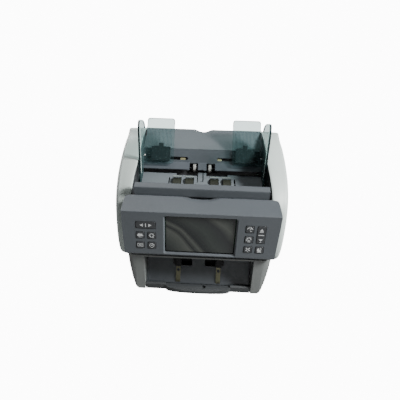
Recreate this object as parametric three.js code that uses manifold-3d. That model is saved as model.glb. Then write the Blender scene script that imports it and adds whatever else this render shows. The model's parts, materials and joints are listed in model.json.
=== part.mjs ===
// Banknote counting machine: a free-standing table-top counter with a top feed hopper,
// two sliding note guides, a tilting control panel and an open front stacker.
// Frame: millimetres, +X to the user's right, +Y to the back, +Z up, origin on the floor
// under the middle of the bounding box.
import * as THREE from "three";
import { mergeVertices } from "three/addons/utils/BufferGeometryUtils.js";
import Module from "manifold-3d";

const wasm = await Module();
wasm.setup();

// ---------------------------------------------------------------- driving dimensions
const HALF_W = 149; // side cover, widest point
const BACK_Y = 124; // outer face of the rear cover
const FRONT_Y = -127.5; // front face of the control panel
const TOP_Z = 219.5; // rear edge of the top cover
const WALL = 2.5; // moulded wall
const HOPPER_HALF = 114.3; // half width of the feed hopper
const PLATE_ANGLE = 55.5; // hopper back plate, degrees from horizontal
const PLATE_Y = 40; // lower edge of the back plate
const PLATE_Z = 165;
const PLATE_LEN = 40.8; // along the slope
const TOP_NOTCH = 24; // half width of the grip notch in the top cover
const SLOT_S = [19.8, 25.4]; // guide slots, along the plate
const SLOT_X = [28, 107];
const GUIDE_TRAVEL = 45;
const GUIDE_TOP_S = 97;
const GUIDE_PANEL_X = [111, 113.6];
const GUIDE_FLANGE_N = [8.6, 11.2];
const PINION_S = 29;
const PINION_R = 7; // pitch radius
const FLOOR_Z = 160; // hopper floor, top face at its rear edge
const PANEL_TOP = 172.5; // fold line of the control panel
const PANEL_BOTTOM = 86.6;
const PANEL_HALF = 125;
const HINGE = { y: -118.5, z: 89.5 };
const WINDOW = { x: 55.8, z0: 95.7, z1: 163.6 };
const KEY = { w: 12.9, h: 12.6, x0: 78.2, x1: 97, rows: [147.2, 127.4, 107.8] };
const KEY_GAP = 0.8;
const STACK_HALF = 92.5; // half width of the stacker opening
const STACK_TOP = 77;
const FRAME_X = [99, 101]; // steel side plates
const PICKUP = { y: 9, z: 144.5, r: 17 };
const FEED = { y: -44, z: 126, r: 18 };
const TRANSPORT = { y: -30, z: 90, r: 11 };
const STACKER = { y: -61, z: 56, r: 24 };
const WALL_TOP = [-64.6, 75.6]; // stacker back wall, top and foot (y, z)
const WALL_FOOT = [-108, 12];
const SHAFT_R = 4;
const GATE_R = 7.9;
const FOOT_H = 5;

// ---------------------------------------------------------------- helpers
function solid(geometry) {
  const g = geometry.clone();
  for (const k of Object.keys(g.attributes)) if (k !== "position") g.deleteAttribute(k);
  const m = mergeVertices(g, 1e-4);
  return new wasm.Manifold(
    new wasm.Mesh({
      numProp: 3,
      vertProperties: new Float32Array(m.attributes.position.array),
      triVerts: new Uint32Array(m.index.array),
    }),
  );
}
function geometryOf(s) {
  const m = s.getMesh();
  const n = m.numProp;
  const v = new Float32Array(m.numVert * 3);
  for (let i = 0; i < m.numVert; i++) v.set(m.vertProperties.subarray(i * n, i * n + 3), i * 3);
  const g = new THREE.BufferGeometry();
  g.setAttribute("position", new THREE.BufferAttribute(v, 3));
  g.setIndex(new THREE.BufferAttribute(new Uint32Array(m.triVerts), 1));
  g.computeVertexNormals();
  return g;
}
const X = new THREE.Vector3(1, 0, 0);
const Y = new THREE.Vector3(0, 1, 0);
const Z = new THREE.Vector3(0, 0, 1);
const join = (...list) => list.reduce((a, b) => a.add(b));
const cut = (a, ...list) => list.reduce((s, b) => s.subtract(b), a);
const common = (...list) => list.reduce((a, b) => a.intersect(b));

function boxGeo(x0, x1, y0, y1, z0, z1) {
  return new THREE.BoxGeometry(x1 - x0, y1 - y0, z1 - z0).translate(
    (x0 + x1) / 2,
    (y0 + y1) / 2,
    (z0 + z1) / 2,
  );
}
const box = (...a) => solid(boxGeo(...a));

// A prism with its outline in the plane across the axis: "x" takes [y, z] points,
// "y" takes [x, z] points and "z" takes [x, y] points.
function prismGeo(axis, pts, a, b) {
  const p = axis === "y" ? pts.map(([x, z]) => [z, x]) : pts;
  let area = 0;
  for (let i = 0; i < p.length; i++) {
    const q = p[(i + 1) % p.length];
    area += p[i][0] * q[1] - q[0] * p[i][1];
  }
  const ring = area < 0 ? [...p].reverse() : p;
  const shape = new THREE.Shape(ring.map(([u, v]) => new THREE.Vector2(u, v)));
  const g = new THREE.ExtrudeGeometry(shape, { depth: b - a, bevelEnabled: false, curveSegments: 1 });
  g.translate(0, 0, a);
  const m = new THREE.Matrix4();
  if (axis === "x") m.makeBasis(Y, Z, X);
  if (axis === "y") m.makeBasis(Z, X, Y);
  return axis === "z" ? g : g.applyMatrix4(m);
}
const prism = (...a) => solid(prismGeo(...a));

function rodGeo(axis, c, r, a, b, seg = 20) {
  const g = new THREE.CylinderGeometry(r, r, b - a, seg);
  if (axis === "x") g.rotateZ(-Math.PI / 2).translate((a + b) / 2, c[0], c[1]);
  if (axis === "y") g.translate(c[0], (a + b) / 2, c[1]);
  if (axis === "z") g.rotateX(Math.PI / 2).translate(c[0], c[1], (a + b) / 2);
  return g;
}
const rod = (...a) => solid(rodGeo(...a));
const ring = (axis, c, r, ri, a, b, seg = 20) =>
  cut(rod(axis, c, r, a, b, seg), rod(axis, c, ri, a - 1, b + 1, seg));

// Rounded rectangle outline.
function rounded(u0, u1, v0, v1, r, n = 3) {
  const pts = [];
  const corner = (cu, cv, a0) => {
    for (let i = 0; i <= n; i++) {
      const a = a0 + (i / n) * (Math.PI / 2);
      pts.push([cu + r * Math.cos(a), cv + r * Math.sin(a)]);
    }
  };
  corner(u1 - r, v1 - r, 0);
  corner(u0 + r, v1 - r, Math.PI / 2);
  corner(u0 + r, v0 + r, Math.PI);
  corner(u1 - r, v0 + r, (3 * Math.PI) / 2);
  return pts;
}
// Shallow arc cut into a top edge: half width w, edge height z, depth d, drawn in the (x, z) plane.
function arcNotch(w, z, d, n = 10) {
  const pts = [[w + 3, z + 6], [-w - 3, z + 6]];
  for (let i = 0; i <= n; i++) {
    const u = -1 + (2 * i) / n;
    pts.push([u * (w + 3), z - d * (0.5 + 0.5 * Math.cos(Math.PI * u)) + 0.4]);
  }
  return pts;
}
const mirrorPts = (pts) => [...pts, ...pts.map(([u, v]) => [-u, v]).reverse()];
// Mirror a solid in the plane X = 0.
const flip = (s) => {
  const g = geometryOf(s);
  const p = g.attributes.position;
  for (let i = 0; i < p.count; i++) p.setX(i, -p.getX(i));
  const ix = g.index.array;
  for (let i = 0; i < ix.length; i += 3) [ix[i + 1], ix[i + 2]] = [ix[i + 2], ix[i + 1]];
  return solid(g);
};

// The hopper back plate's own frame: x across, s up the slope, n out of its face.
const A = (PLATE_ANGLE * Math.PI) / 180;
const tilt = new THREE.Matrix4()
  .makeTranslation(0, PLATE_Y, PLATE_Z)
  .multiply(new THREE.Matrix4().makeRotationX(A));
const onPlate = (geo) => solid(geo.applyMatrix4(tilt));
const plateYZ = (s, n) => [
  PLATE_Y + s * Math.cos(A) - n * Math.sin(A),
  PLATE_Z + s * Math.sin(A) + n * Math.cos(A),
];

// ---------------------------------------------------------------- materials
const mat = (hex, roughness, metalness = 0, extra = {}) =>
  new THREE.MeshStandardMaterial({ color: hex, roughness, metalness, ...extra });
const M = {
  cover: mat(0xb4bbb8, 0.5),
  dark: mat(0x4a5054, 0.45),
  darker: mat(0x33373a, 0.5),
  grey: mat(0x727c82, 0.5),
  black: mat(0x16181a, 0.5),
  key: mat(0x3a3e41, 0.4),
  guide: mat(0x5f8f92, 0.15, 0, { transparent: true, opacity: 0.6 }),
  glass: mat(0x1d2123, 0.08),
  steel: mat(0x9a9c9e, 0.35, 1),
  zinc: mat(0xa39a80, 0.4, 1),
  rubber: mat(0x1c1b1a, 0.9),
  brass: mat(0xb08d45, 0.35, 1),
  white: mat(0xe4e4de, 0.4),
  board: mat(0x1c4a30, 0.6),
};
const group = new THREE.Group();
const put = (name, s, material) => {
  const m = new THREE.Mesh(geometryOf(s), material);
  m.name = name;
  group.add(m);
};

// ---------------------------------------------------------------- side covers
// Side outline (y, z), plan outline (x, y) and front outline (x, z) of one bulged shell.
const COVER_SIDE = [
  [121, 219.5], [95, 219.3], [60, 217.5], [25, 211], [-5, 202.5], [-35, 191.5], [-60, 177],
  [-76, 160], [-86, 138], [-91, 113], [-92, 88], [-88, 66], [-78, 48], [-64, 37], [-48, 31.5],
  [60, 22], [121, 18],
];
const COVER_PLAN = [
  [115, 122], [144, 122], [147.6, 120], [148.8, 114], [149, 90], [149, 30], [148.6, 0],
  [147.4, -32], [145.2, -62], [142.6, -82], [139, -94], [122.5, -94], [120.6, -70], [117.6, -35], [115, 0],
];
const COVER_FRONT = [
  [100, 220], [141, 220], [145.5, 219.2], [147.8, 216.5], [148.6, 205], [149, 170], [148.6, 130],
  [147.6, 90], [145.6, 55], [143, 33], [140, 17], [100, 17],
];
const inset = (pts, fu, fv) => pts.map(([u, v]) => [fu(u), fv(v)]);
function coverShell() {
  const outer = common(
    prism("x", COVER_SIDE, 115, 150),
    prism("z", COVER_PLAN, 10, 225),
    prism("y", COVER_FRONT, -100, 125),
  );
  const w = 2.6;
  // Hollow from inside and below: the same outlines drawn in by one wall.
  const cy = 20;
  const cz = 120;
  const inner = common(
    prism("x", inset(COVER_SIDE, (y) => cy + (y - cy) * (1 - w / 106), (z) => cz + (z - cz) * (1 - w / 99)), 117.5, 150),
    prism("z", inset(COVER_PLAN, (x) => (x <= 123 ? x + w : x - w), (y) => cy + (y - cy) * (1 - w / 106)), 5, 230),
    prism("y", inset(COVER_FRONT, (x) => (x <= 101 ? x : x - w), (z) => cz + (z - cz) * (1 - w / 99)), -100, 125),
  );
  // The inner wall is only a strip along the top, beside the hopper; below it is open.
  const mouth = box(105, 127.3, -87, 118, 24, 146);
  const shell = cut(outer, inner, mouth);
  return shell.decompose().sort((a, b) => b.volume() - a.volume())[0];
}
const rightCover = coverShell();
put("right_side_cover", rightCover, M.cover);
put("left_side_cover", flip(rightCover), M.cover);

// ---------------------------------------------------------------- base
// Floor tray with side walls that close the body under the side covers, standing on four feet.
{
  const z0 = FOOT_H + 0.5;
  const floor = join(
    prism("z", mirrorPts([[0, -98], [91.4, -98], [91.4, -68.4], [112.6, -68.4], [112.6, 117], [0, 117]]), z0, z0 + 2.5),
    box(95.8, 112.6, -92.4, -68, z0, z0 + 2.5),
    box(-112.6, -95.8, -92.4, -68, z0, z0 + 2.5),
  );
  const side = prism("x", [[-92.4, z0], [117, z0], [117, 44], [-74, 44], [-92.4, 60]], 110.1, 112.6);
  put("bottom_tray", join(floor, side, flip(side), box(-112.6, 112.6, 114.6, 117, z0, 17.8)), M.darker);
}
for (const [name, x, y] of [
  ["foot_front_left", -84, -80], ["foot_front_right", 84, -80],
  ["foot_rear_left", -96, 98], ["foot_rear_right", 96, 98],
]) {
  const pad = solid(
    new THREE.LatheGeometry(
      [[0, 0], [7.5, 0], [8.6, 1], [9, FOOT_H + 0.2], [0, FOOT_H + 0.2]].map(([r, z]) => new THREE.Vector2(r, z)),
      18,
    ).rotateX(Math.PI / 2).translate(x, y, 0),
  );
  put(name, pad, M.rubber);
}

// ---------------------------------------------------------------- lower front
// Two tapering flanks joined by a bar over the stacker opening.
{
  const outline = [
    [-122, 80], [-121.4, 72], [-118.5, 52], [-114.8, 32], [-111, 16], [-108.5, 9.5], [-104.5, 6], [-STACK_HALF, 5.6],
    [-STACK_HALF, STACK_TOP], [STACK_HALF, STACK_TOP], [STACK_HALF, 5.6], [104.5, 6], [108.5, 9.5], [111, 16],
    [114.8, 32], [118.5, 52], [121.4, 72], [122, 80],
  ];
  let bezel = prism("y", outline, -119.5, -69);
  // Front edges of the flanks fall away a little towards the outer corner.
  const plan = mirrorPts([[0, -119.5], [108, -119.5], [115, -117.8], [119.5, -114.5], [122.5, -109], [123, -69], [0, -69]]);
  bezel = common(bezel, prism("z", plan, 0, 90));
  const hollow = prism("y", [
    [-119, 90], [-118.4, 72], [-115.5, 52], [-111.8, 32], [-108, 16], [-105.5, 9], [-95.2, 8.4], [-95.2, 90],
  ], -112, -60);
  bezel = cut(bezel, hollow, flip(hollow), box(95.2, 130, -92.8, -60, 0, 79.9), box(-130, -95.2, -92.8, -60, 0, 79.9), box(95.2, 130, -92.8, -60, 70, 90), box(-130, -95.2, -92.8, -60, 70, 90));
  // The bar over the opening is only its front edge, and the inner walls stop short of the stacker shaft.
  bezel = cut(bezel, box(-92.5, 92.5, -98, -60, 70, 90), box(-97, 97, -80, -60, 0, 95));
  bezel = join(bezel, box(-94, 94, -98.2, -95.7, 78, 95)); // chin behind the lower edge of the panel
  put("lower_front_bezel", bezel, M.grey);
}
// Apron across the bottom of the opening: a raised lip at each end, a low tongue standing forward between them.
{
  const lip = prism("x", [
    [-118, 5.8], [-118.8, 10], [-118.2, 16.6], [-116.4, 18.6], [-113.6, 18.2], [-111.6, 13], [-110.2, 9.8], [-98.6, 9.4], [-98.6, 5.8],
  ], -91.8, 91.8);
  const tonguePlan = mirrorPts([[0, -127], [22, -126.6], [42, -125.2], [52, -123], [57.6, -118.6], [59, -112.4], [0, -112.4]]);
  const tongue = common(
    prism("z", tonguePlan, 5.8, 26),
    prism("x", [[-127.8, 6.1], [-127.4, 10], [-124.5, 14.6], [-119, 15.6], [-112.1, 15.2], [-112.1, 6.1]], -60, 60),
  );
  let apron = cut(lip, box(-57, 57, -125, -104.3, 14.4, 30));
  apron = join(apron, tongue);
  // Round seat of the note sensor in the tongue.
  apron = cut(apron, rod("z", [10, -118.6], 4, 12, 40, 18));
  put("stacker_apron", apron, M.dark);
}
// Sloping back wall of the stacker, slotted for the stacker wheels.
const WU = [WALL_FOOT[0] - WALL_TOP[0], WALL_FOOT[1] - WALL_TOP[1]];
const WL = Math.hypot(...WU);
// Point at share t down the wall and n out of its face.
const onWall = (t, n) => [WALL_TOP[0] + WU[0] * t + (n * WU[1]) / WL, WALL_TOP[1] + WU[1] * t - (n * WU[0]) / WL];
{
  let wall = prism("x", [onWall(0, 0), onWall(1, 0), onWall(1, -2.4), onWall(0, -2.4)], -92, 92);
  for (const x of [-21, 21])
    wall = cut(wall, prism("x", [onWall(-0.1, 6), onWall(0.58, 6), onWall(0.58, -6), onWall(-0.1, -6)], x - 9.4, x + 9.4));
  put("stacker_back_wall", wall, M.black);
}
// Bent zinc note strippers that lie on the wall beside the stacker wheels.
for (const [name, x] of [["left_note_stripper", -35.6], ["right_note_stripper", 35.6]]) {
  const strip = prism("x", [
    onWall(0.02, 0.4), onWall(0.03, 2.6), onWall(0.2, 4.6), onWall(0.6, 4.4), onWall(0.9, 2.2), onWall(0.97, 0.4),
    onWall(0.9, 0.9), onWall(0.6, 3.2), onWall(0.2, 3.3), onWall(0.1, 2),
  ], x - 4, x + 4);
  const [hy, hz] = onWall(0.7, 0);
  const hole = solid(rodGeo("x", [0, 0], 2.6, -10, 10, 12).rotateZ(Math.PI / 2).rotateX(Math.atan2(-WU[0], -WU[1]) - Math.PI / 2).translate(x, hy, hz));
  put(name, cut(strip, hole), M.zinc);
}

// ---------------------------------------------------------------- frame plates and inner parts
{
  const outline = [
    [-74, 20], [104, 20], [104, 140], [64, 156], [36, 156], [20, 149], [-28, 146], [-62, 146], [-71, 140], [-71, 116], [-56, 100], [-56, 82], [-62, 70], [-80, 62], [-86, 48], [-84, 30],
  ];
  let plate = prism("x", outline, FRAME_X[0], FRAME_X[1]);
  for (const s of [PICKUP, FEED, TRANSPORT, STACKER]) plate = cut(plate, rod("x", [s.y, s.z], 6.6, 90, 110, 20));
  put("right_frame_plate", plate, M.steel);
  put("left_frame_plate", flip(plate), M.steel);
}

// ---------------------------------------------------------------- hopper
// Front bar of the hopper.
{
  const profile = [[-76.2, 172.7], [-77.2, 186.4], [-76.4, 188.2], [-69.4, 191.7], [-67, 192], [-65.6, 190.9], [-65.2, 172.7]];
  const bar = prism("x", profile, -112, 112);
  // Skirt in front of the feed rollers, and a leg each side down to the side plates.
  const skirt = prism("x", [[-72, 173], [-72, 150], [-70.6, 146], [-69.2, 146], [-69.2, 173]], -97, 97);
  const leg = prism("x", [[-74, 173], [-74, 122], [-66, 118], [-66, 173]], 101.4, 108);
  put("hopper_front_bar", join(bar, skirt, leg, flip(leg)), M.dark);
}
// Floor plate of the hopper with roller windows.
const tiltFloor = (y) => FLOOR_Z - 0.1 * (PLATE_Y - y);
{
  const y0 = -30;
  const y1 = 41;
  let floor = prism("x", [[y0, tiltFloor(y0)], [y1, tiltFloor(y1)], [y1, tiltFloor(y1) - WALL], [y0, tiltFloor(y0) - WALL]], -HOPPER_HALF, HOPPER_HALF);
  // Lip down over the feed rollers.
  for (const x of [-46.5, -23, 23, 46.5]) floor = cut(floor, box(x - 8.4, x + 8.4, -6, 24, 145, 170));
  // Slits round the spring tongue in the middle, and the stepped rear edge.
  floor = cut(floor, box(-9, -7.4, 7, 50, 145, 170), box(1.2, 2.9, 9.5, 50, 145, 170), box(-3.6, 2, 9.5, 11.3, 145, 170));
  for (const x of [-1, 1]) {
    const span = (a, b) => [Math.min(x * a, x * b), Math.max(x * a, x * b)];
    floor = cut(floor, box(...span(8.4, 48.5), 30, 50, 145, 170), box(...span(47, 120), 36, 50, 145, 170));
  }
  for (const x of [-61, 61]) floor = cut(floor, box(x - 1.2, x + 1.2, -6, 22, 145, 170));
  put("hopper_floor", floor, M.grey);
}
// Throat plate that turns the notes down over the main feed rollers.
{
  const z = tiltFloor(-30.4);
  const profile = [[-30.5, z], [-40, z - 1.5], [-52, z - 7], [-60, z - 17], [-62.2, z - 16.4], [-54, z - 4.4], [-41, z + 1], [-30.5, z + 2.4]].map(([y, zz]) => [y, zz - 1.6]);
  let throat = prism("x", profile, -98.5, 98.5);
  for (const x of [-46.5, -23, 23, 46.5]) throat = cut(throat, box(x - 9, x + 9, -64, -36, 100, 170));
  put("feed_throat_plate", throat, M.darker);
}
// Back plate of the hopper with guide slots and the gate roller slots.
{
  let plate = solid(boxGeo(-HOPPER_HALF, HOPPER_HALF, 0, PLATE_LEN, -WALL, 0).applyMatrix4(tilt));
  for (const x of [-1, 1]) {
    const s0 = x > 0 ? SLOT_X[0] : -SLOT_X[1];
    const s1 = x > 0 ? SLOT_X[1] : -SLOT_X[0];
    plate = cut(plate, onPlate(prismGeo("z", rounded(s0, s1, SLOT_S[0], SLOT_S[1], 2.2, 3), -5, 3)));
    plate = cut(plate, onPlate(prismGeo("z", rounded(x * 16.2 - 8.2, x * 16.2 + 8.2, -3, 13.8, 1.2, 2), -5, 3)));
  }
  put("hopper_back_plate", plate, M.dark);
}
// Top cover behind the hopper: sloping deck, grip notch and rear wall down to the service door.
{
  const [cy, cz] = plateYZ(PLATE_LEN + 0.4, 0);
  const [uy, uz] = plateYZ(PLATE_LEN + 0.4, -2.4);
  const outer = [[cy, cz], [118, TOP_Z - 3.4], [121.5, TOP_Z - 3.2], [BACK_Y, TOP_Z - 6.5], [BACK_Y, 166], [BACK_Y - WALL, 166], [BACK_Y - WALL, TOP_Z - 8], [118, TOP_Z - 6.6], [uy, uz]];
  let cover = prism("x", outer, -HOPPER_HALF, HOPPER_HALF);
  // Grip recess: a bay in the rear edge with its own curved wall and floor.
  const bay = (depth, half, y0, n = 14) =>
    Array.from({ length: n + 1 }, (_, i) => [-half + (2 * half * i) / n, y0 - depth * (0.5 - 0.5 * Math.cos((2 * Math.PI * i) / n)) ** 0.8]);
  cover = join(cover, prism("z", bay(13.4, TOP_NOTCH + 2.4, BACK_Y - 0.8), 195, 212));
  cover = cut(cover, prism("z", [[TOP_NOTCH, 130], [-TOP_NOTCH, 130], ...bay(11.5, TOP_NOTCH, BACK_Y)], 197.4, 230));
  cover = cut(cover, rod("y", [84, 190], 10.6, 110, 130, 24)); // seat of the feed gap knob
  put("top_cover", cover, M.grey);
}
// Service door in the back, with a sunk carrying grip near its top and openings for the inlet and the switch.
const DOOR = { z0: 24, z1: 165.4, hz: 26.5 };
{
  let door = box(-HOPPER_HALF + 0.4, HOPPER_HALF - 0.4, BACK_Y - WALL, BACK_Y, DOOR.z0, DOOR.z1);
  const pocket = box(-46, 46, BACK_Y - 20, BACK_Y - 0.5, 128, 152);
  const pocketIn = prism("x", [[BACK_Y - 17.6, 149.6], [BACK_Y - 17.6, 134], [BACK_Y - 12, 130.4], [BACK_Y + 5, 130.4], [BACK_Y + 5, 145], [BACK_Y - 3, 149.6]], -43.6, 43.6);
  door = cut(join(door, pocket), pocketIn);
  door = cut(door, box(-100, -44, 100, 140, 10, 66)); // inlet and switch bay
  for (let i = 0; i < 6; i++) door = cut(door, box(8, 84, 100, 140, 50 + i * 9, 54 + i * 9)); // cooling slots
  // Hinge barrel along the lower edge.
  door = join(door, rod("x", [BACK_Y - 2.6, DOOR.hz - 2], 2.6, -40, 100, 14));
  put("rear_door", door, M.grey);
}
// Fixed lower back wall with the hinge pin's saddles, the inlet bay and the switch bay.
{
  const wall = box(-111.6, 111.6, 118.2, 120.6, 18.4, 34);
  let bay = box(-99.4, -44.6, 117, BACK_Y, 18.4, 65.4);
  bay = cut(bay, box(-92, -64, 110, 130, 34.6, 57.4), box(-59.4, -47.4, 110, 130, 36, 58));
  bay = join(cut(wall, box(-99.4, -44.6, 110, 130, 0, 80)), bay);
  bay = cut(bay, box(-42.5, 102, 117, 126, 18.3, 30.6));
  put("rear_sill", bay, M.darker);
}
// Mains inlet: shell with three blades sunk in it.
{
  let inlet = box(-91.7, -64.3, 96, BACK_Y + 1, 34.9, 57.1);
  inlet = cut(inlet, prism("y", [[-89, 37.6], [-67, 37.6], [-67, 50], [-71, 54.4], [-85, 54.4], [-89, 50]], 104, 130));
  inlet = join(inlet, box(-85.6, -84, 100, 119, 43, 47.4), box(-72, -70.4, 100, 119, 43, 47.4), box(-78.8, -77.2, 100, 119, 47, 51.4));
  put("power_inlet", inlet, M.black);
}
// Rocker of the power switch, turning on a pin across its bay.
{
  const rocker = prism("x", [[BACK_Y - 6, 38.6], [BACK_Y - 0.4, 38.6], [BACK_Y - 0.2, 47], [BACK_Y + 2.4, 55.4], [BACK_Y - 3, 55.4], [BACK_Y - 9, 47]], -58.6, -48.2);
  put("power_switch", rocker, M.black);
}
// Knob on top for the feed gap, standing in the right-hand end of the top cover.
{
  const pts = [[0, 0], [8.5, 0], [9.2, 1], [9.2, 8], [8.2, 9.4], [0, 9.4]].map(([r, z]) => new THREE.Vector2(r, z));
  let knob = solid(new THREE.LatheGeometry(pts, 20).rotateX(Math.PI / 2).translate(0, 0, 0));
  const flat = [];
  for (let i = 0; i < 10; i++) {
    const a = (i / 10) * Math.PI * 2;
    flat.push(rod("z", [9.9 * Math.cos(a), 9.9 * Math.sin(a)], 1.3, 1.5, 20, 8));
  }
  knob = cut(knob, ...flat);
  const g = geometryOf(knob).rotateX(-Math.PI / 2).translate(84, BACK_Y - 5.1, 190);
  put("feed_gap_knob", solid(g), M.black);
}

// ---------------------------------------------------------------- shafts and rollers
const hexish = 18;
function shaft(name, s, x0, x1) {
  put(name, rod("x", [s.y, s.z], SHAFT_R, x0, x1, hexish), M.steel);
}
shaft("pickup_shaft", PICKUP, -106, 106);
shaft("feed_shaft", FEED, -106, 112);
shaft("stacker_shaft", STACKER, -106, 106);
const drum = (s, r, x0, x1) => ring("x", [s.y, s.z], r, SHAFT_R + 0.3, x0, x1, 20);
const hub = (s, x0, x1) => ring("x", [s.y, s.z], SHAFT_R + 4, SHAFT_R + 0.3, x0, x1, 20);
// Tyred rollers: four tyres on one long hub.
const fourTyres = (s) => {
  const pair = join(drum(s, s.r, 15.5, 30.5), drum(s, s.r, 39, 54));
  return join(pair, flip(pair), hub(s, -54, 54));
};
put("pickup_roller", fourTyres(PICKUP), M.rubber);
put("feed_roller", fourTyres(FEED), M.rubber);
{
  const c = [TRANSPORT.y, TRANSPORT.z];
  const r = TRANSPORT.r;
  put("transport_roller", join(rod("x", c, r, -54, -39, 22), rod("x", c, r, -15, 15, 22), rod("x", c, r, 39, 54, 22), rod("x", c, SHAFT_R, -106, 106, hexish)), M.rubber);
}
// Gate idlers in the lower edge of the back plate.
const GATE = plateYZ(5.6, -6.4);
put("gate_roller", join(rod("x", GATE, 2.5, -26, 26, 14), rod("x", GATE, GATE_R, -17.2, -11.8, 24), rod("x", GATE, GATE_R, 11.8, 17.2, 24)), M.white);
// Stacker wheels with curved flexible vanes.
for (const x of [-21, 21]) {
  const n = 9;
  const pts = [];
  const hubR = 9.5;
  for (let i = 0; i < n; i++) {
    const a = (i / n) * Math.PI * 2;
    const at = (r, d) => [STACKER.y + r * Math.cos(a + d), STACKER.z + r * Math.sin(a + d)];
    const d = (mm, r) => mm / r;
    pts.push(at(hubR, -d(1.3, hubR)), at(14, -d(1.1, 14) + 0.14), at(19, -d(1.0, 19) + 0.34), at(STACKER.r, -d(0.8, 24) + 0.6));
    pts.push(at(STACKER.r, d(0.8, 24) + 0.6), at(19, d(1.0, 19) + 0.34), at(14, d(1.1, 14) + 0.14), at(hubR, d(1.3, hubR)));
  }
  const wheel = cut(prism("x", pts, x - 8, x + 8), rod("x", [STACKER.y, STACKER.z], SHAFT_R + 0.3, -60, 60, hexish));
  put((x < 0 ? "left" : "right") + "_stacker_wheel", wheel, M.black);
}

// ---------------------------------------------------------------- drive
const MOTOR = { y: 62, z: 96 };
put("main_motor", join(rod("x", [MOTOR.y, MOTOR.z], 27, 44, 98.4, 28), box(84, 98.4, 36, 88, 70, 122)), M.steel);
{
  const c = [MOTOR.y, MOTOR.z];
  put("motor_pulley", cut(join(rod("x", c, 7, 102, 111, 18), rod("x", c, 9, 110, 111.4, 18)), rod("x", c, 2, 100, 105, 8)), M.steel);
  put("feed_pulley", cut(join(ring("x", [FEED.y, FEED.z], 14, SHAFT_R + 0.3, 102, 110, 26), ring("x", [FEED.y, FEED.z], 16, SHAFT_R + 0.3, 110, 111.4, 26)), rod("x", [FEED.y, FEED.z], SHAFT_R + 0.3, 90, 120, 18)), M.white);
  // Toothed belt round the two pulleys.
  const loop = (r1, r2) => {
    const dy = FEED.y - MOTOR.y;
    const dz = FEED.z - MOTOR.z;
    const dist = Math.hypot(dy, dz);
    const base = Math.atan2(dz, dy);
    const b = Math.acos((r1 - r2) / dist);
    const pts = [];
    for (let i = 0; i <= 10; i++) {
      const a = base + b + ((2 * Math.PI - 2 * b) * i) / 10;
      pts.push([MOTOR.y + r1 * Math.cos(a), MOTOR.z + r1 * Math.sin(a)]);
    }
    for (let i = 0; i <= 12; i++) {
      const a = base - b + (2 * b * i) / 12;
      pts.push([FEED.y + r2 * Math.cos(a), FEED.z + r2 * Math.sin(a)]);
    }
    return pts;
  };
  put("drive_belt", cut(prism("x", loop(9.2, 16.2), 103, 109), prism("x", loop(7.6, 14.6), 100, 120)), M.rubber);
}
// Control electronics and supply in the base.
put("main_board", join(box(-90, 70, 108, 110, 62, 124), box(-70, -40, 98, 109, 70, 100), box(-20, 20, 102, 109, 76, 112), box(30, 62, 100, 109, 66, 84)), M.board);
put("power_supply", cut(box(-94, -10, 20, 92, 21, 60), box(-91.6, -12.4, 22.4, 89.6, 40, 70)), M.steel);
put("sensor_bar", join(box(-92, 92, -18, -4, 100, 116), box(-96, 96, -20, -17.6, 97, 119)), M.black);

// ---------------------------------------------------------------- note guides
{
  const top = GUIDE_TOP_S;
  const [py, pz] = plateYZ(76, GUIDE_FLANGE_N[1]);
  const [by, bz] = plateYZ(9.5, GUIDE_FLANGE_N[1]);
  // Upright side panel: its rounded top falls away towards the flange.
  const side = prism("x", [
    [-4.6, 157.6], [-5, 262], [-4.2, 268], [-1.4, 272.2], [3.4, 274], [10, 273], [40, 263.2], [58, 252.8], [66, 246.4], [70.6, 240.6], [py, pz], [by, bz], [30, 161.2],
  ], GUIDE_PANEL_X[0], GUIDE_PANEL_X[1]);
  // Flange along the back plate with vertical ribs.
  const flangePts = [[112, 9.5], [112, 73], [110.6, 76], [108.4, 78], [107.6, 81], [107.4, top - 6], [106.6, top - 2.4], [104, top], [60, top], [57, top - 1.6], [55.4, top - 5], [55, 60], [55, 16], [57, 11.5], [61, 9.5]];
  let flange = onPlate(prismGeo("z", flangePts, GUIDE_FLANGE_N[0], GUIDE_FLANGE_N[1]));
  for (let x = 62; x < 104; x += 8) {
    flange = join(flange, onPlate(prismGeo("z", [[x - 1.6, 14], [x - 1.6, top - 4], [x + 1.6, top - 4], [x + 1.6, 14]], GUIDE_FLANGE_N[1] - 0.3, GUIDE_FLANGE_N[1] + 0.8)));
  }
  let guide = join(side, flange);
  guide = cut(guide, onPlate(boxGeo(108.4, 110.4, 62, 72, 0, 20)));
  put("right_guide", guide, M.guide);
  put("left_guide", flip(guide), M.guide);
}
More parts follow.
